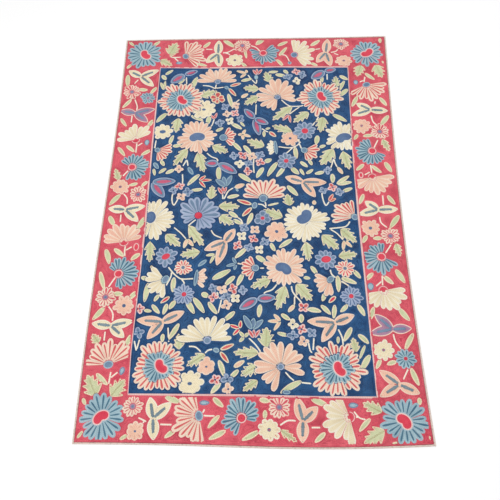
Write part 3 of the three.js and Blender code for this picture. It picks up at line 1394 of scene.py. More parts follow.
def petals(style, centre, inside, rim, count, first, last, yarns, edge=None):
    """A ring or a fan of petals, from the heart out to the rim, with a collar round the heart's edge"""
    fill, pitch, core = PETAL_STYLES[style]
    step = math.radians((last - first) / count)
    middle = np.array(centre, float)
    work.begin(centre)
    if edge is not None:
        collar(yarns[0], edge)
    for i in range(count):
        turn = rng.uniform(-TURN_SPREAD, TURN_SPREAD)
        angle = math.radians(first) + (i + 0.5 + turn) * step
        inner = distance_to(inside, centre, angle) * HIDDEN_START if inside else OPEN_START
        outer = distance_to(rim, centre, angle) * rng.uniform(*LENGTH_SPREAD)
        widest = 2 * outer * math.tan(step / 2) * fill
        petal(middle, angle, inner, outer, step, widest, yarns, pitch, core)
    work.end()


# Flowers


# The paler yarn that outlines each filling
PALE_EDGE = {"cream": "ivory", "peach": "shell", "mauve": "shell"}


def circle(x, y, reach):
    return Oval(x, y, 2 * reach, 2 * reach, 0)


def stitch_corner_daisies():
    for x, y, reach, middle, side in CORNER_DAISIES:
        edge = bean(middle, ("pink", "crimson"), side)
        rim = circle(x, y, reach)
        yarns = ("sky", "sky", "teal")
        petals("corner daisy", (x, y), middle, rim, CORNER_PETALS, 0, 360, yarns, edge)


def stitch_medallions():
    """A ring of blue petals round a bean, and a ring of striped ones round that"""
    for x, y, reach, middle, side in MEDALLIONS:
        edge = bean(middle, ("pink", "crimson"), side)
        ring = circle(x, y, reach * RING_REACH)
        petals("medallion ring", (x, y), middle, ring, RING_PETALS, 0, 360, ("sky", "teal"), edge)
        rim = circle(x, y, reach)
        yarns = ("shell", "shell", "salmon")
        petals("medallion", (x, y), ring, rim, MEDALLION_PETALS, 0, 360, yarns)


def stitch_bean_daisies():
    for yarn, rim, middle, side, count, first, last in BEAN_DAISIES:
        edge = bean(middle, ("denim",), side)
        yarns = (PALE_EDGE[yarn], yarn)
        petals("bean daisy", (rim.x, rim.y), middle, rim, count, first, last, yarns, edge)


def stitch_open_daisies():
    for yarn, centre, rim, radius, count, first, last in OPEN_DAISIES:
        middle = circle(*centre, radius)
        heart(middle, ("lilac", "slate"))
        yarns = (PALE_EDGE[yarn], yarn)
        petals("open daisy", centre, middle, rim, count, first, last, yarns)


def stitch_blue_fans():
    """Fans of blue petals, in one pair of yarns on the field and in another on the border"""
    for centre, rim, count, first, last, radius in BLUE_FANS:
        in_the_field = in_field(np.array([centre]))[0]
        edge, line = ("lilac", "slate") if in_the_field else ("sky", "teal")
        lining = ("crimson",) if in_the_field else ("pink", "crimson")
        heart(circle(*centre, radius - LINING_INSET), lining)
        middle = circle(*centre, radius - FAN_START_INSET)
        petals("blue fan", centre, middle, rim, count, first, last, (edge, edge, line))


def stitch_striped_fans():
    for x, y, first, last, reach, count, length, width in STRIPED_FANS:
        heart(Oval(x, y, length, width, (first + last) / 2), ("sky", "slate"))
        middle = circle(x, y, min(length, width) / 2)
        rim = circle(x, y, reach)
        yarns = ("shell", "shell", "salmon")
        petals("striped fan", (x, y), middle, rim, count, first, last, yarns)


def calyx(x, y, back):
    """An arc of pink with crimson rays, behind the root of a fan"""
    turns = np.linspace(back - CALYX_ARC, back + CALYX_ARC, CALYX_POINTS)
    arc = np.column_stack([np.cos(turns), np.sin(turns)]) * CALYX_RADIUS
    work.begin((x, y))
    work.row("pink", np.array([x, y]) + arc, width=FINE_ROW)
    for turn in CALYX_RAYS:
        ray = np.array([math.cos(back + turn), math.sin(back + turn)])
        root = np.array([x, y]) + ray * CALYX_RAY_START
        work.row("crimson", [root, root + ray * CALYX_RAY_LENGTH], width=FINE_ROW)
    work.end()


def stitch_plain_fans():
    for yarn, x, y, first, last, reach, count in PLAIN_FANS:
        yarns = (PALE_EDGE[yarn], yarn)
        petals("plain fan", (x, y), None, circle(x, y, reach), count, first, last, yarns)
        calyx(x, y, math.radians((first + last) / 2 + 180))


def stitch_half_flowers():
    for yarn, x, y, first, last, reach, count, base in HALF_FLOWERS:
        heart(base, ("sky", "slate"))
        yarns = (PALE_EDGE[yarn], yarn)
        petals("half flower", (x, y), None, circle(x, y, reach), count, first, last, yarns)


def stitch_small_daisies():
    for x, y, reach, edge, line, yarn, length, width, turn, count in SMALL_DAISIES:
        middle = Oval(x, y, length, width, turn)
        around = heart(middle, (yarn,))
        rim = circle(x, y, reach)
        petals("small daisy", (x, y), middle, rim, count, 0, 360, (edge, line), around)


def stitch_star_daisies():
    """Small daisies whose petals are outlines only"""
    for x, y, reach in STAR_DAISIES:
        heart(circle(x, y, STAR_HEART), ("mauve", "slate"))
        start = circle(x, y, STAR_START)
        rim = circle(x, y, reach)
        petals("star daisy", (x, y), start, rim, STAR_PETALS, 0, 360, ("shell", None))


def scallops(x, y, reach, count):
    """The outline of a flower with round petals of uneven length, from notch to notch"""
    points = []
    first = rng.uniform(0, 360)
    for k in range(count):
        length = reach * rng.uniform(*LENGTH_SPREAD)
        for share in np.linspace(0, 1, SCALLOP_POINTS, endpoint=False):
            turn = math.radians(first + (k + share) * 360 / count)
            r = reach * (1 - SCALLOP_DEPTH)
            r += (length - r) * math.sin(math.pi * share) ** SCALLOP_ROUNDNESS
            points.append((x + r * math.cos(turn), y + r * math.sin(turn)))
    return np.array(points)


def stitch_scalloped_flowers():
    for x, y, reach, yarn, count, length, width in SCALLOPED_FLOWERS:
        edge = heart(Oval(x, y, length, width, 0), ("denim",))
        work.begin((x, y))
        collar(yarn, edge)
        patch([scallops(x, y, reach * SCALLOP_FULLNESS, count)], (PALE_EDGE[yarn], yarn))
        work.end()


def stitch_trefoils():
    """Three leaves joined at their roots, each with a vein that is worked over it. Rows that are
    worked over others come first, and let those pass under them."""
    share = np.linspace(-JOIN_OVERLAP, 1, LEAF_POINTS)[:, None]
    for fill, vein, width, join, *tips in TREFOILS:
        middles = [between(join, tip, share) for tip in tips]
        reach = round(VEIN_REACH * len(share))
        veins = [leaf_outline(middle[:reach], TREFOIL_VEIN, full_shape) for middle in middles]
        work.begin(join)
        patch(veins, (vein,), over=True)
        work.begin(join)
        patch([leaf_outline(middle, width, leaf_shape) for middle in middles], (PALE_EDGE[fill], fill))
        for middle in middles:
            work.row(fill, middle[SPRIG_CORE])
        work.end()


def stitch_heart_pairs():
    """Pairs of blue lobes from one join, each with a rose part in it"""
    for join, tip_a, width_a, tip_b, width_b in RED_HEART_PAIRS:
        for tip, width in ((tip_a, width_a), (tip_b, width_b)):
            start, end = (between(join, tip, share) for share in ROSE_ENDS)
            lobe(start, end, width * ROSE_WIDTH, ("rose",))
            lobe(join, tip, width, ("lilac", "slate"), blunt_shape)


def stitch_small_parts():
    """Hearts, rings, buds and sprays"""
    for x, y, length, width, turn, yarn in SMALL_HEARTS:
        heart(Oval(x, y, length, width, turn), ("sky", yarn))
    for x, y, length, width in PINK_RINGS:
        heart(Oval(x, y, length, width, 90), ("pink", "crimson"))
    for x, y, tip_x, tip_y, width, edge, inner in SMALL_LOBES:
        lobe((x, y), (tip_x, tip_y), width, (edge, inner), blunt_shape)
    for edge, inner, width, join, tips in SPRAYS:
        for tip in tips:
            lobe(join, tip, width, (edge, inner), blunt_shape)


# Outline and filling of the small crosses
CROSS_YARNS = {
    "peach": ("shell", "peach"),
    "cream": ("ivory", "cream"),
    "salmon": ("pink", "salmon"),
    "sky": ("lilac", "slate"),
}


def stitch_crosses():
    for x, y, yarn in CROSSES:
        first = rng.uniform(0, 90)
        rim = circle(x, y, CROSS_REACH)
        petals("cross", (x, y), None, rim, CROSS_ARMS, first, first + 360, CROSS_YARNS[yarn])


# Leaves and stems


# One side of a broad leaf: share of the length, share of half the width
LEAF_TEETH = [
    (0.0, 0.1),
    (0.1, 0.42),
    (0.24, 0.72),
    (0.42, 1.06),
    (0.37, 0.52),
    (0.5, 0.64),
    (0.68, 0.94),
    (0.62, 0.38),
    (0.72, 0.42),
    (0.88, 0.58),
    (0.83, 0.24),
    (0.92, 0.16),
]


def broad_leaf(base, tip, width):
    """The outline of a leaf with three teeth a side, each a little off its place"""
    base, tip = np.array(base, float), np.array(tip, float)
    across = np.array([base[1] - tip[1], tip[0] - base[0]]) / math.dist(base, tip)
    sides = []
    for side in (1, -1):
        slip = rng.uniform(-TOOTH_SLIP, TOOTH_SLIP)
        reach = width / 2 * rng.uniform(*TOOTH_SPREAD)
        places = [(min(LAST_TOOTH, max(0.0, share + slip)), half) for share, half in LEAF_TEETH]
        sides.append([between(base, tip, s) + side * reach * h * across for s, h in places])
    return np.array([*sides[0], tip, *reversed(sides[1])])


def stitch_leaves():
    """Broad leaves with teeth and a vein, and plain leaves"""
    for x, y, tip_x, tip_y, width in BROAD_LEAVES:
        base, tip = (x, y), (tip_x, tip_y)
        work.begin(base)
        vein = [base, between(base, tip, BROAD_VEIN_REACH)]
        work.row("tan", vein, width=FINE_ROW, over=True)
        work.begin(base)
        outline = broad_leaf(base, tip, width * BROAD_LEAF_FULLNESS)
        patch([outline], ("cream", "green"), BROAD_LEAF_PITCH)
        work.end()
    for x, y, tip_x, tip_y, width in PLAIN_LEAVES:
        bow = rng.uniform(-LEAF_BOW, LEAF_BOW) * width
        start = between((x, y), (tip_x, tip_y), -LEAF_OVERREACH)
        tip = between((x, y), (tip_x, tip_y), 1 + LEAF_OVERREACH)
        lobe(start, tip, width * LEAF_FULLNESS, ("cream", "green"), blunt_shape, bow)


def stitch_stems():
    for stem in STEMS:
        work.begin(stem[len(stem) // 2])
        work.row("ivory", rounded(stem), width=STEM_ROW)
        work.end()


def stitch_guard():
    """Two rows of pink yarn where the border meets the field"""
    right = [(x, y) for y, x in GUARD_RIGHT]
    left = [(x, y) for y, x in GUARD_LEFT]
    line = np.array(GUARD_NEAR[:-1] + right[:-1] + GUARD_FAR[:0:-1] + left[:0:-1], float)
    reach = np.hypot(*line.T)[:, None]
    for offset in (-GUARD_PITCH / 2, GUARD_PITCH / 2):
        work.begin()
        work.row("pink", line * (1 + offset / reach), True, GUARD_PITCH)
        work.end()


def stitch_motifs():
    """Flowers, then leaves, then stems: what comes later stops at what is there"""
    stitch_guard()
    stitch_medallions()
    stitch_bean_daisies()
    stitch_open_daisies()
    stitch_corner_daisies()
    stitch_blue_fans()
    stitch_striped_fans()
    stitch_plain_fans()
    stitch_small_daisies()
    stitch_star_daisies()
    stitch_scalloped_flowers()
    stitch_trefoils()
    stitch_heart_pairs()
    stitch_small_parts()
    stitch_half_flowers()
    stitch_crosses()
    stitch_leaves()
    stitch_stems()


# The ground's rows


def distance_from_motifs():
    """How far each free cell is from the nearest motif, guard row or edge, in millimetres"""
    rows, columns = work.holder.shape
    y = (np.arange(rows) + 0.5) * CELL - GRID_REACH_Y
    x = (np.arange(columns) + 0.5) * CELL - GRID_REACH_X
    plan = np.stack(np.meshgrid(x, y), axis=-1).reshape(-1, 2)
    held = (work.holder > 0) | ~in_rug(plan, GROUND_EDGE_CLEARANCE).reshape(rows, columns)
    place = np.broadcast_to(np.arange(columns), held.shape)
    before = np.maximum.accumulate(np.where(held, place, -columns), axis=1)
    after = np.minimum.accumulate(np.where(held, place, 2 * columns)[:, ::-1], axis=1)[:, ::-1]
    across = np.minimum(place - before, after - place).astype(np.float32)
    reach = int(ECHO_REACH / CELL)
    square = across**2
    nearest = square.copy()
    for up in range(1, reach):
        nearest[up:] = np.minimum(nearest[up:], square[:-up] + up * up)
        nearest[:-up] = np.minimum(nearest[:-up], square[up:] + up * up)
    return np.sqrt(nearest) * CELL


def ground_rows():
    """Rows in the ground's colours that echo the motifs, one pitch apart"""
    field = distance_from_motifs()
    found = {"red": [], "navy": []}
    level = GROUND_ROW_PITCH / 2
    while level < field.max():
        for line in contour(field, level):
            points = (line + 0.5) * CELL - np.array([GRID_REACH_X, GRID_REACH_Y])
            length = np.hypot(*np.diff(points, axis=0).T).sum()
            if length > SHORTEST_ECHO:
                points = evenly(points, True, STITCH_LENGTH / GROUND_POINTS_A_STITCH)
                place = "navy" if in_field(points[:1])[0] else "red"
                found[place].append((points, True, GROUND_ROW_PITCH, ROW_BASE, GROUND_ROW_CREST))
        level += GROUND_ROW_PITCH
    return found


# Materials

# The turn of the yarn's twist over one stitch in radians, and its depth beside the stitch
TWIST_RATE = 40.0
TWIST_DEPTH = 0.06

# How dark the painted shade in a yarn's creases is: the share of its deeper colour that it keeps there
WOOL_PAINTED_SHADE = 0.62
GROUND_PAINTED_SHADE = 0.6

# The turn of the cotton's weave over one metre, in radians
WEAVE_RATE = 4200.0

# How many whirls the ground's stitches make in one metre, and how many rows a whirl is wide
WHIRL_SCALE = 24.0
WHIRL_ROWS = 9.4

# How every surface shines
SHEEN_ROUGHNESS = 0.5
SPECULAR = 0.2

# The colour sockets of Blender's mix node
MIX_A, MIX_B, MIX_RESULT = 6, 7, 2


def linear(colour):
    """An sRGB colour, 0 to 255, as Blender's linear colour"""
    shares = [c / 255 for c in colour]
    return [c / 12.92 if c <= 0.04045 else ((c + 0.055) / 1.055) ** 2.4 for c in shares] + [1.0]


class Nodes:
    """Short calls that add and join a material's nodes"""

    def __init__(self, name, roughness, sheen):
        self.material = bpy.data.materials.new(name)
        self.material.use_nodes = True
        self.tree = self.material.node_tree
        self.shader = self.tree.nodes["Principled BSDF"]
        self.shader.inputs["Roughness"].default_value = roughness
        self.shader.inputs["Sheen Weight"].default_value = sheen
        self.shader.inputs["Sheen Roughness"].default_value = SHEEN_ROUGHNESS
        self.shader.inputs["Specular IOR Level"].default_value = SPECULAR

    def put(self, socket, value):
        """Gives a socket another node's output, or a constant"""
        if isinstance(value, bpy.types.NodeSocket):
            self.tree.links.new(value, socket)
        else:
            socket.default_value = value

    def coordinates(self, output):
        return self.tree.nodes.new("ShaderNodeTexCoord").outputs[output]

    def uv(self, name):
        node = self.tree.nodes.new("ShaderNodeUVMap")
        node.uv_map = name
        return node.outputs["UV"]

    def attribute(self, name):
        node = self.tree.nodes.new("ShaderNodeAttribute")
        node.attribute_name = name
        return node.outputs["Fac"]

    def math(self, operation, a, b=0.0, clamp=False):
        node = self.tree.nodes.new("ShaderNodeMath")
        node.operation = operation
        node.use_clamp = clamp
        self.put(node.inputs[0], a)
        self.put(node.inputs[1], b)
        return node.outputs[0]

    def weighed(self, *parts):
        """The sum of values times their weights, kept from 0 to 1"""
        total = 0.0
        for value, weight in parts:
            total = self.math("ADD", total, self.math("MULTIPLY", value, weight), clamp=True)
        return total

    def paint_crease_shade(self, colour, height, deep, depth):
        """Gives the shader a colour with painted shade, which turns to a deeper one where the height is
        low
        """
        # How much painted shade falls at each place: more where the height is low
        dark = self.math("MULTIPLY", self.math("SUBTRACT", 1.0, height), depth)
        self.put(self.shader.inputs["Base Color"], self.blend(dark, colour, linear(deep)))

    def split(self, vector):
        node = self.tree.nodes.new("ShaderNodeSeparateXYZ")
        self.put(node.inputs[0], vector)
        return node.outputs

    def noise(self, vector, scale, detail=2.0, distortion=0.0):
        node = self.tree.nodes.new("ShaderNodeTexNoise")
        self.put(node.inputs["Vector"], vector)
        node.inputs["Scale"].default_value = scale
        node.inputs["Detail"].default_value = detail
        node.inputs["Distortion"].default_value = distortion
        return node.outputs["Fac"]

    def ramp(self, value, low, high):
        """Stretches the stretch from low to high over 0 to 1"""
        node = self.tree.nodes.new("ShaderNodeMapRange")
        node.interpolation_type = "SMOOTHSTEP"
        self.put(node.inputs["Value"], value)
        node.inputs["From Min"].default_value = low
        node.inputs["From Max"].default_value = high
        return node.outputs["Result"]

    def blend(self, share, a, b):
        node = self.tree.nodes.new("ShaderNodeMix")
        node.data_type = "RGBA"
        self.put(node.inputs["Factor"], share)
        self.put(node.inputs[MIX_A], a)
        self.put(node.inputs[MIX_B], b)
        return node.outputs[MIX_RESULT]

    def bump(self, height, distance, strength=1.0):
        node = self.tree.nodes.new("ShaderNodeBump")
        node.inputs["Strength"].default_value = strength
        node.inputs["Distance"].default_value = distance
        self.put(node.inputs["Height"], height)
        self.put(self.shader.inputs["Normal"], node.outputs["Normal"])


def stitch_relief(n):
    """Height of a chain stitch over the row's own map: loops that nest in a V, with a groove
    between their legs. The first height has no twist of yarn on it, and also tells where shade is
    painted."""
    across, along = n.split(n.uv("Rows"))[:2]
    off_middle = n.math("ABSOLUTE", n.math("SUBTRACT", across, 0.5))
    chain = n.math("FRACT", n.math("ADD", along, n.math("MULTIPLY", off_middle, 0.9)))
    crease = n.ramp(n.math("ABSOLUTE", n.math("SUBTRACT", chain, 0.5)), low=0.5, high=0.34)
    groove = n.ramp(off_middle, low=0.0, high=0.12)
    twist = n.math("SINE", n.math("MULTIPLY", n.math("ADD", along, across), TWIST_RATE))
    body = n.math("MULTIPLY", crease, n.math("ADD", n.math("MULTIPLY", groove, 0.6), 0.4))
    return body, n.math("ADD", body, n.math("MULTIPLY", twist, TWIST_DEPTH))


def wool_material(name, light, deep):
    """Dyed wool yarn: each row a little off the next, faded in patches, with shade painted in the
    creases
    """
    n = Nodes(name, roughness=0.88, sheen=0.12)
    place = n.coordinates("Object")
    patches = n.ramp(n.noise(place, scale=22.0, detail=3.0), low=0.35, high=0.68)
    fibre = n.noise(place, scale=900.0)
    share = n.weighed((patches, 0.45), (n.attribute("shade"), 0.4), (fibre, 0.15))
    body, relief = stitch_relief(n)
    colour = n.blend(share, linear(light), linear(deep))
    # Painted shade: the colour turns to a darker copy of the deeper yarn in the stitches' creases and
    # grooves
    n.paint_crease_shade(colour, body, [c * WOOL_PAINTED_SHADE for c in deep], depth=0.45)
    n.bump(n.math("ADD", relief, n.math("MULTIPLY", fibre, 0.3)), distance=0.0007, strength=0.7)
    return n.material


def ground_material(name, light, deep):
    """The ground's own chain stitch, worked in small whirls of one colour in uneven dye lots, with
    painted shade between rows
    """
    n = Nodes(name, roughness=0.92, sheen=0.1)
    place = n.coordinates("Object")
    whirl = n.tree.nodes.new("ShaderNodeTexVoronoi")
    whirl.voronoi_dimensions = "2D"
    whirl.inputs["Scale"].default_value = WHIRL_SCALE
    n.put(whirl.inputs["Vector"], place)
    rings = n.math("FRACT", n.math("MULTIPLY", whirl.outputs["Distance"], WHIRL_ROWS))
    # How high each whirl's row stands: 1 in its middle, 0 at its edges, where shade is painted between
    # rows
    row = n.ramp(n.math("ABSOLUTE", n.math("SUBTRACT", rings, 0.5)), low=0.5, high=0.2)
    loops = n.noise(place, scale=260.0, distortion=0.5)
    patches = n.ramp(n.noise(place, scale=14.0, detail=3.0), low=0.34, high=0.7)
    cell = n.split(whirl.outputs["Color"])[0]
    share = n.weighed((patches, 0.5), (cell, 0.3), (loops, 0.3))
    colour = n.blend(share, linear(light), linear(deep))
    # Painted shade: the colour turns to a darker copy of the deeper yarn between the whirls' rows
    n.paint_crease_shade(colour, row, [c * GROUND_PAINTED_SHADE for c in deep], depth=0.6)
    n.bump(n.math("ADD", row, n.math("MULTIPLY", loops, 0.8)), distance=0.0011, strength=0.8)
    return n.material


def cotton_material(name, light, deep):
    """Undyed cotton with a plain weave and dark specks"""
    n = Nodes(name, roughness=0.9, sheen=0.05)
    place = n.coordinates("Object")
    x, y = n.split(place)[:2]
    weft = n.math("SINE", n.math("MULTIPLY", x, WEAVE_RATE))
    warp = n.math("SINE", n.math("MULTIPLY", y, WEAVE_RATE))
    weave = n.math("MULTIPLY", weft, warp)
    specks = n.ramp(n.noise(place, scale=240.0, detail=3.0), low=0.46, high=0.66)
    tone = n.weighed((specks, 0.7), (weave, 0.15))
    n.put(n.shader.inputs["Base Color"], n.blend(tone, linear(light), linear(deep)))
    n.bump(n.math("ADD", n.math("MULTIPLY", weave, 0.5), specks), distance=0.0003, strength=0.6)
    return n.material


# Meshes

# The sides of a row's roll: its two corners at each point, 0 to 2, and their places across the map
ROLL_SIDES = [
    (0, 1, 0, 0.5),
    (1, 2, 0.5, 1),
    (2, 0, 1, 0),
]


def add_object(name, mesh):
    """A piece of the rug, which rides the only body"""
    piece = bpy.data.objects.new(name, mesh)
    bpy.context.scene.collection.objects.link(piece)
    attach(piece, "root")
    return piece


def in_scene(points, heights):
    """Table places and heights in millimetres, as metres in the frame"""
    return np.column_stack([(points + RUG_CENTRE) * MM, np.asarray(heights) * MM])


def picture_map(points):
    """Where the rug's plan falls on a square map"""
    size = 2 * GRID_REACH_Y
    return points / size + 0.5


def row_corners(points, closed, width, base_height, crest_height, points_a_stitch):
    """The corners of a row's roll: left, crest and right at each point, as a plan and heights"""
    count = len(points)
    if closed:
        ahead = np.roll(points, -1, axis=0) - np.roll(points, 1, axis=0)
    else:
        ahead = np.gradient(points, axis=0)
    ahead /= np.maximum(np.hypot(*ahead.T), 1e-6)[:, None]
    side = np.column_stack([-ahead[:, 1], ahead[:, 0]])
    swell = np.where(np.arange(count) % 2, 1, -1) if points_a_stitch > 1 else np.zeros(count)
    half = width / 2 * ROW_SPREAD * (1 + STITCH_BULGE * swell)
    crest = crest_height + STITCH_RISE * swell + rng.uniform(-CREST_SPREAD, CREST_SPREAD)
    middle = points.copy()
    if not closed:
        half[[0, -1]] *= END_NARROWING
        crest[[0, -1]] -= END_DIP
        middle[0] += ahead[0] * END_SETBACK
        middle[-1] -= ahead[-1] * END_SETBACK
    left = points + side * half[:, None]
    right = points - side * half[:, None]
    plan = np.stack([left, middle, right], axis=1).reshape(-1, 2)
    base = np.full(count, base_height)
    return plan, np.stack([base, crest, base], axis=1).ravel()


def row_faces(count, closed, first, points_a_stitch):
    """The faces of a row's roll, whose corners count from first, with their map: 0 to 1 across
    each side, and one for each stitch along the row"""
    segments = count if closed else count - 1
    near = np.arange(segments)
    far = (near + 1) % count
    start = rng.random()
    along_near = start + near / points_a_stitch
    along_far = start + (near + 1) / points_a_stitch
    quads = []
    quad_uv = []
    for a, b, across_a, across_b in ROLL_SIDES:
        quads.append(np.column_stack([3 * near + a, 3 * near + b, 3 * far + b, 3 * far + a]))
        uv = np.empty((segments, 4, 2))
        uv[:, :, 0] = [across_a, across_b, across_b, across_a]
        uv[:, :, 1] = np.column_stack([along_near, along_near, along_far, along_far])
        quad_uv.append(uv.reshape(-1, 2))
    triangles = np.empty((0, 3), int)
    triangle_uv = np.empty((0, 2))
    if not closed:
        last = 3 * (count - 1)
        end = along_far[-1]
        triangles = np.array([[0, 2, 1], [last + 2, last, last + 1]]) + first
        triangle_uv = np.array([[0, start], [1, start], [0.5, start], [1, end], [0, end], [0.5, end]])
    return np.concatenate(quads) + first, np.concatenate(quad_uv), triangles, triangle_uv


def fill_mesh(name, vertices, quads, quad_uv, triangles, triangle_uv, shade):
    """A mesh from arrays of four-sided and three-sided faces, with both maps and a shade"""
    loops = np.concatenate([quads.ravel(), triangles.ravel()])
    starts = np.concatenate([4 * np.arange(len(quads)), 4 * len(quads) + 3 * np.arange(len(triangles))])
    mesh = bpy.data.meshes.new(name)
    mesh.vertices.add(len(vertices))
    mesh.vertices.foreach_set("co", vertices.astype(np.float32).ravel())
    mesh.loops.add(len(loops))
    mesh.loops.foreach_set("vertex_index", loops.astype(np.int32))
    mesh.polygons.add(len(starts))
    mesh.polygons.foreach_set("loop_start", starts.astype(np.int32))
    mesh.update(calc_edges=True)
    mesh.polygons.foreach_set("use_smooth", np.ones(len(starts), bool))
    plan = picture_map(vertices[loops][:, :2] / MM)
    mesh.uv_layers.new(name="OFBake").data.foreach_set("uv", plan.astype(np.float32).ravel())
    rows = np.concatenate([quad_uv, triangle_uv])
    mesh.uv_layers.new(name="Rows").data.foreach_set("uv", rows.astype(np.float32).ravel())
    mesh.attributes.new("shade", "FLOAT", "POINT").data.foreach_set("value", shade.astype(np.float32))
    mesh.validate()
    return mesh


def embroidery_piece(name, rows, material, points_a_stitch=POINTS_A_STITCH):
    """All the rows of one yarn as one mesh"""
    parts = []
    shades = []
    first = 0
    for points, closed, width, base, crest in rows:
        corners = row_corners(points, closed, width, base, crest, points_a_stitch)
        parts.append((*corners, *row_faces(len(points), closed, first, points_a_stitch)))
        shades.append(np.full(3 * len(points), rng.random()))
        first += 3 * len(points)
    plans, heights, quads, quad_uv, triangles, triangle_uv = (np.concatenate(p) for p in zip(*parts))
    vertices = in_scene(plans, heights)
    mesh = fill_mesh(name, vertices, quads, quad_uv, triangles, triangle_uv, np.concatenate(shades))
    mesh.materials.append(material)
    piece = add_object(name, mesh)
    return piece


def cloth_knots(low, middle_low, middle_high, high):
    """Even shares from 0 to 1 in each of three stretches, about one cell apart, and one more near
    each end, where the cloth's top rolls over"""
    stretches = []
    for k, (a, b) in enumerate(((low, middle_low), (middle_low, middle_high), (middle_high, high))):
        steps = round((b - a) / GROUND_CELL)
        stretches.append(k + np.arange(steps) / steps)
    knots = np.concatenate([*stretches, [3.0]])
    roll = GROUND_ROLL / (middle_low - low)
    return np.sort(np.append(knots, [roll, 3 - roll]))


def cloth_plan():
    """The grid of the cloth, whose lines follow its edges and the guard lines"""
    knot_x, knot_y = np.meshgrid(cloth_knots(*KNOTS_ACROSS), cloth_knots(*KNOTS_UP))
    x = np.interp(knot_x, [0, 1, 2, 3], KNOTS_ACROSS)
    y = np.interp(knot_y, [0, 1, 2, 3], KNOTS_UP)
    for _ in range(KNOT_ROUNDS):
        sides = [edge_left(y), guard_at(GUARD_LEFT, y), guard_at(GUARD_RIGHT, y), edge_right(y)]
        x = blend_knots(knot_x, sides)
        ends = [edge_near(x), guard_at(GUARD_NEAR, x), guard_at(GUARD_FAR, x), edge_far(x)]
        y = blend_knots(knot_y, ends)
    return x, y


def cloth_faces(rows, columns):
    """The faces of the cloth's top, its underside and its edge, as three lists"""
    size = rows * columns
    index = np.arange(size).reshape(rows, columns)
    a, b = index[:-1, :-1].ravel(), index[:-1, 1:].ravel()
    c, d = index[1:, 1:].ravel(), index[1:, :-1].ravel()
    upper = np.column_stack([a, b, c, d])
    lower = np.column_stack([d, c, b, a]) + size
    ring = np.concatenate([index[0, :-1], index[:-1, -1], index[-1, :0:-1], index[:0:-1, 0]])
    ahead = np.roll(ring, -1)
    wall = np.column_stack([ring + size, ahead + size, ahead, ring])
    return upper, lower, wall


def cloth_waves(x, y):
    """How uneven the cloth is under its stitches, in millimetres"""
    return 0.12 * np.sin(x / 37 + 2 * np.sin(y / 61)) + 0.1 * np.sin(y / 29 + x / 83)


def ground_piece():
    """The cloth under the stitches: one sheet, red outside the guard line and navy inside it"""
    x, y = cloth_plan()
    rim = np.zeros_like(x, bool)
    rim[[0, -1], :] = True
    rim[:, [0, -1]] = True
    top = np.where(rim, GROUND_EDGE_TOP, GROUND_TOP + cloth_waves(x, y))
    plan = np.column_stack([x.ravel(), y.ravel()])
    vertices = np.vstack([in_scene(plan, top.ravel()), in_scene(plan, np.zeros(x.size))])
    upper, lower, wall = cloth_faces(*x.shape)
    mesh = bpy.data.meshes.new("ground_cloth")
    mesh.from_pydata(vertices.tolist(), [], np.vstack([upper, lower, wall]).tolist())
    mesh.update()
    on_field = in_field(plan[upper].mean(axis=1))
    slots = np.concatenate([np.where(on_field, 1, 0), np.full(len(lower), 2), np.full(len(wall), 0)])
    mesh.polygons.foreach_set("material_index", slots.astype(np.int32))
    smooth = np.concatenate([np.ones(len(upper), bool), np.zeros(len(lower) + len(wall), bool)])
    mesh.polygons.foreach_set("use_smooth", smooth)
    mesh.materials.append(ground_material("wool_red_ground", *GROUND_YARNS["red"]))
    mesh.materials.append(ground_material("wool_navy_ground", *GROUND_YARNS["navy"]))
    mesh.materials.append(cotton_material("cotton_backing", *COTTONS["backing"]))
    piece = add_object("ground_cloth", mesh)
    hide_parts("rug_face")
    return piece


def blend_knots(knot, sides):
    """A place between the four lines that the knots 0, 1, 2 and 3 stand on"""
    stretch = np.clip(knot.astype(int), 0, 2)
    share = knot - stretch
    lines = np.stack(sides)
    low = np.take_along_axis(lines, stretch[None], 0)[0]
    high = np.take_along_axis(lines, stretch[None] + 1, 0)[0]
    return low + (high - low) * share


def binding_line(side):
    """The middle of a binding, from one end to the other"""
    low, high = (np.array(corner[:2]) / MM - RUG_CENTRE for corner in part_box("binding_" + side))
    out = BINDING_GAP + BINDING_WIDTH / 2
    if side in ("left", "right"):
        y = np.arange(low[1], high[1], WHIP_PITCH / POINTS_A_WHIP)
        x = edge_left(y) - out if side == "left" else edge_right(y) + out
    else:
        x = np.arange(low[0], high[0], WHIP_PITCH / POINTS_A_WHIP)
        y = edge_near(x) - out if side == "near" else edge_far(x) + out
    return np.column_stack([x, y])


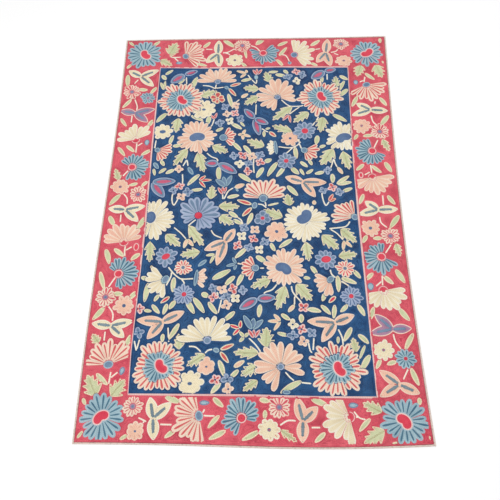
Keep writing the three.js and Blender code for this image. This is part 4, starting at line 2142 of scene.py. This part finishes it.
def binding_piece(side, material):
    """A rounded roll of cotton, whipped along its length with a slanted thread"""
    line = binding_line(side)
    count = len(line)
    ahead = np.gradient(line, axis=0)
    ahead /= np.hypot(*ahead.T)[:, None]
    out = np.column_stack([ahead[:, 1], -ahead[:, 0]])
    corners = BINDING_CORNERS
    angle = np.arange(corners) / corners * 2 * math.pi
    along = np.arange(count)[:, None] / POINTS_A_WHIP
    thread = np.abs(np.sin(math.pi * (along + angle[None] / (2 * math.pi) * WHIP_SLANT)))
    swell = 1 - WHIP_BULGE + WHIP_BULGE * thread
    swell[[0, -1]] *= BINDING_END
    across = np.cos(angle)[None] * BINDING_WIDTH / 2 * swell
    height = BINDING_HEIGHT / 2 + np.sin(angle)[None] * BINDING_HEIGHT / 2 * swell
    height = np.maximum(height, 0.0)
    plan = line[:, None, :] + out[:, None, :] * across[:, :, None]
    vertices = in_scene(plan.reshape(-1, 2), height.ravel())
    i = np.arange(count - 1)[:, None] * corners
    k = np.arange(corners)[None]
    k_next = (k + 1) % corners
    quads = np.stack([i + corners + k, i + corners + k_next, i + k_next, i + k], axis=-1)
    last = (count - 1) * corners
    faces = quads.reshape(-1, 4).tolist()
    faces.append(list(range(corners)))
    faces.append([last + c for c in reversed(range(corners))])
    mesh = bpy.data.meshes.new("binding_roll_" + side)
    mesh.from_pydata(vertices.tolist(), [], faces)
    mesh.update()
    mesh.polygons.foreach_set("use_smooth", np.ones(len(faces), bool))
    mesh.materials.append(material)
    piece = add_object("binding_roll_" + side, mesh)
    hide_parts("binding_" + side)
    return piece


def build_rug():
    """All the pieces, and the one sheet that they make up"""
    stitch_motifs()
    for yarn, rows in sorted(work.rows.items()):
        material = wool_material("wool_" + yarn, *YARNS[yarn])
        embroidery_piece("embroidery_" + yarn, rows, material)
    for place, rows in ground_rows().items():
        material = wool_material("wool_" + place, *GROUND_YARNS[place])
        name = "ground_rows_" + place
        embroidery_piece(name, rows, material, GROUND_POINTS_A_STITCH)
    cotton = cotton_material("cotton_whipping", *COTTONS["whipping"])
    bindings = [binding_piece(side, cotton) for side in ("left", "right", "near", "far")]
    ground = ground_piece()


def build_floor():
    """A plain white floor, which is no part of the rug"""
    mesh = bpy.data.meshes.new("floor")
    reach = FLOOR_REACH
    corners = [(-reach, -reach, 0), (reach, -reach, 0), (reach, reach, 0), (-reach, reach, 0)]
    mesh.from_pydata(corners, [], [(0, 1, 2, 3)])
    n = Nodes("studio_floor", roughness=0.9, sheen=0.0)
    n.shader.inputs["Base Color"].default_value = FLOOR_WHITE
    mesh.materials.append(n.material)
    floor = bpy.data.objects.new("floor", mesh)
    bpy.context.scene.collection.objects.link(floor)


def build_light():
    """Even white light from all round, and two soft lamps that aim at the rug's middle"""
    world = bpy.data.worlds.new("studio")
    bpy.context.scene.world = world
    world.use_nodes = True
    background = world.node_tree.nodes["Background"]
    background.inputs["Color"].default_value = (1.0, 1.0, 1.0, 1.0)
    background.inputs["Strength"].default_value = STUDIO_LIGHT
    for name, place, size, power in LIGHTS:
        light = bpy.data.lights.new(name, "AREA")
        light.size = size
        light.energy = power
        lamp = bpy.data.objects.new(name, light)
        lamp.location = place
        aim = -lamp.location
        lamp.rotation_euler = aim.to_track_quat("-Z", "Y").to_euler()
        bpy.context.scene.collection.objects.link(lamp)
    bpy.context.scene.view_settings.view_transform = "Standard"


def build_camera():
    """The photo's own view"""
    camera = bpy.data.cameras.new("camera")
    camera.sensor_width = CAMERA_SENSOR
    camera.lens = CAMERA_LENS
    camera.clip_end = CAMERA_REACH
    place = bpy.data.objects.new("camera", camera)
    place.location = CAMERA_PLACE
    place.rotation_euler = [math.radians(turn) for turn in CAMERA_TURN]
    bpy.context.scene.collection.objects.link(place)
    bpy.context.scene.camera = place


build_camera()
build_light()
build_floor()
build_rug()
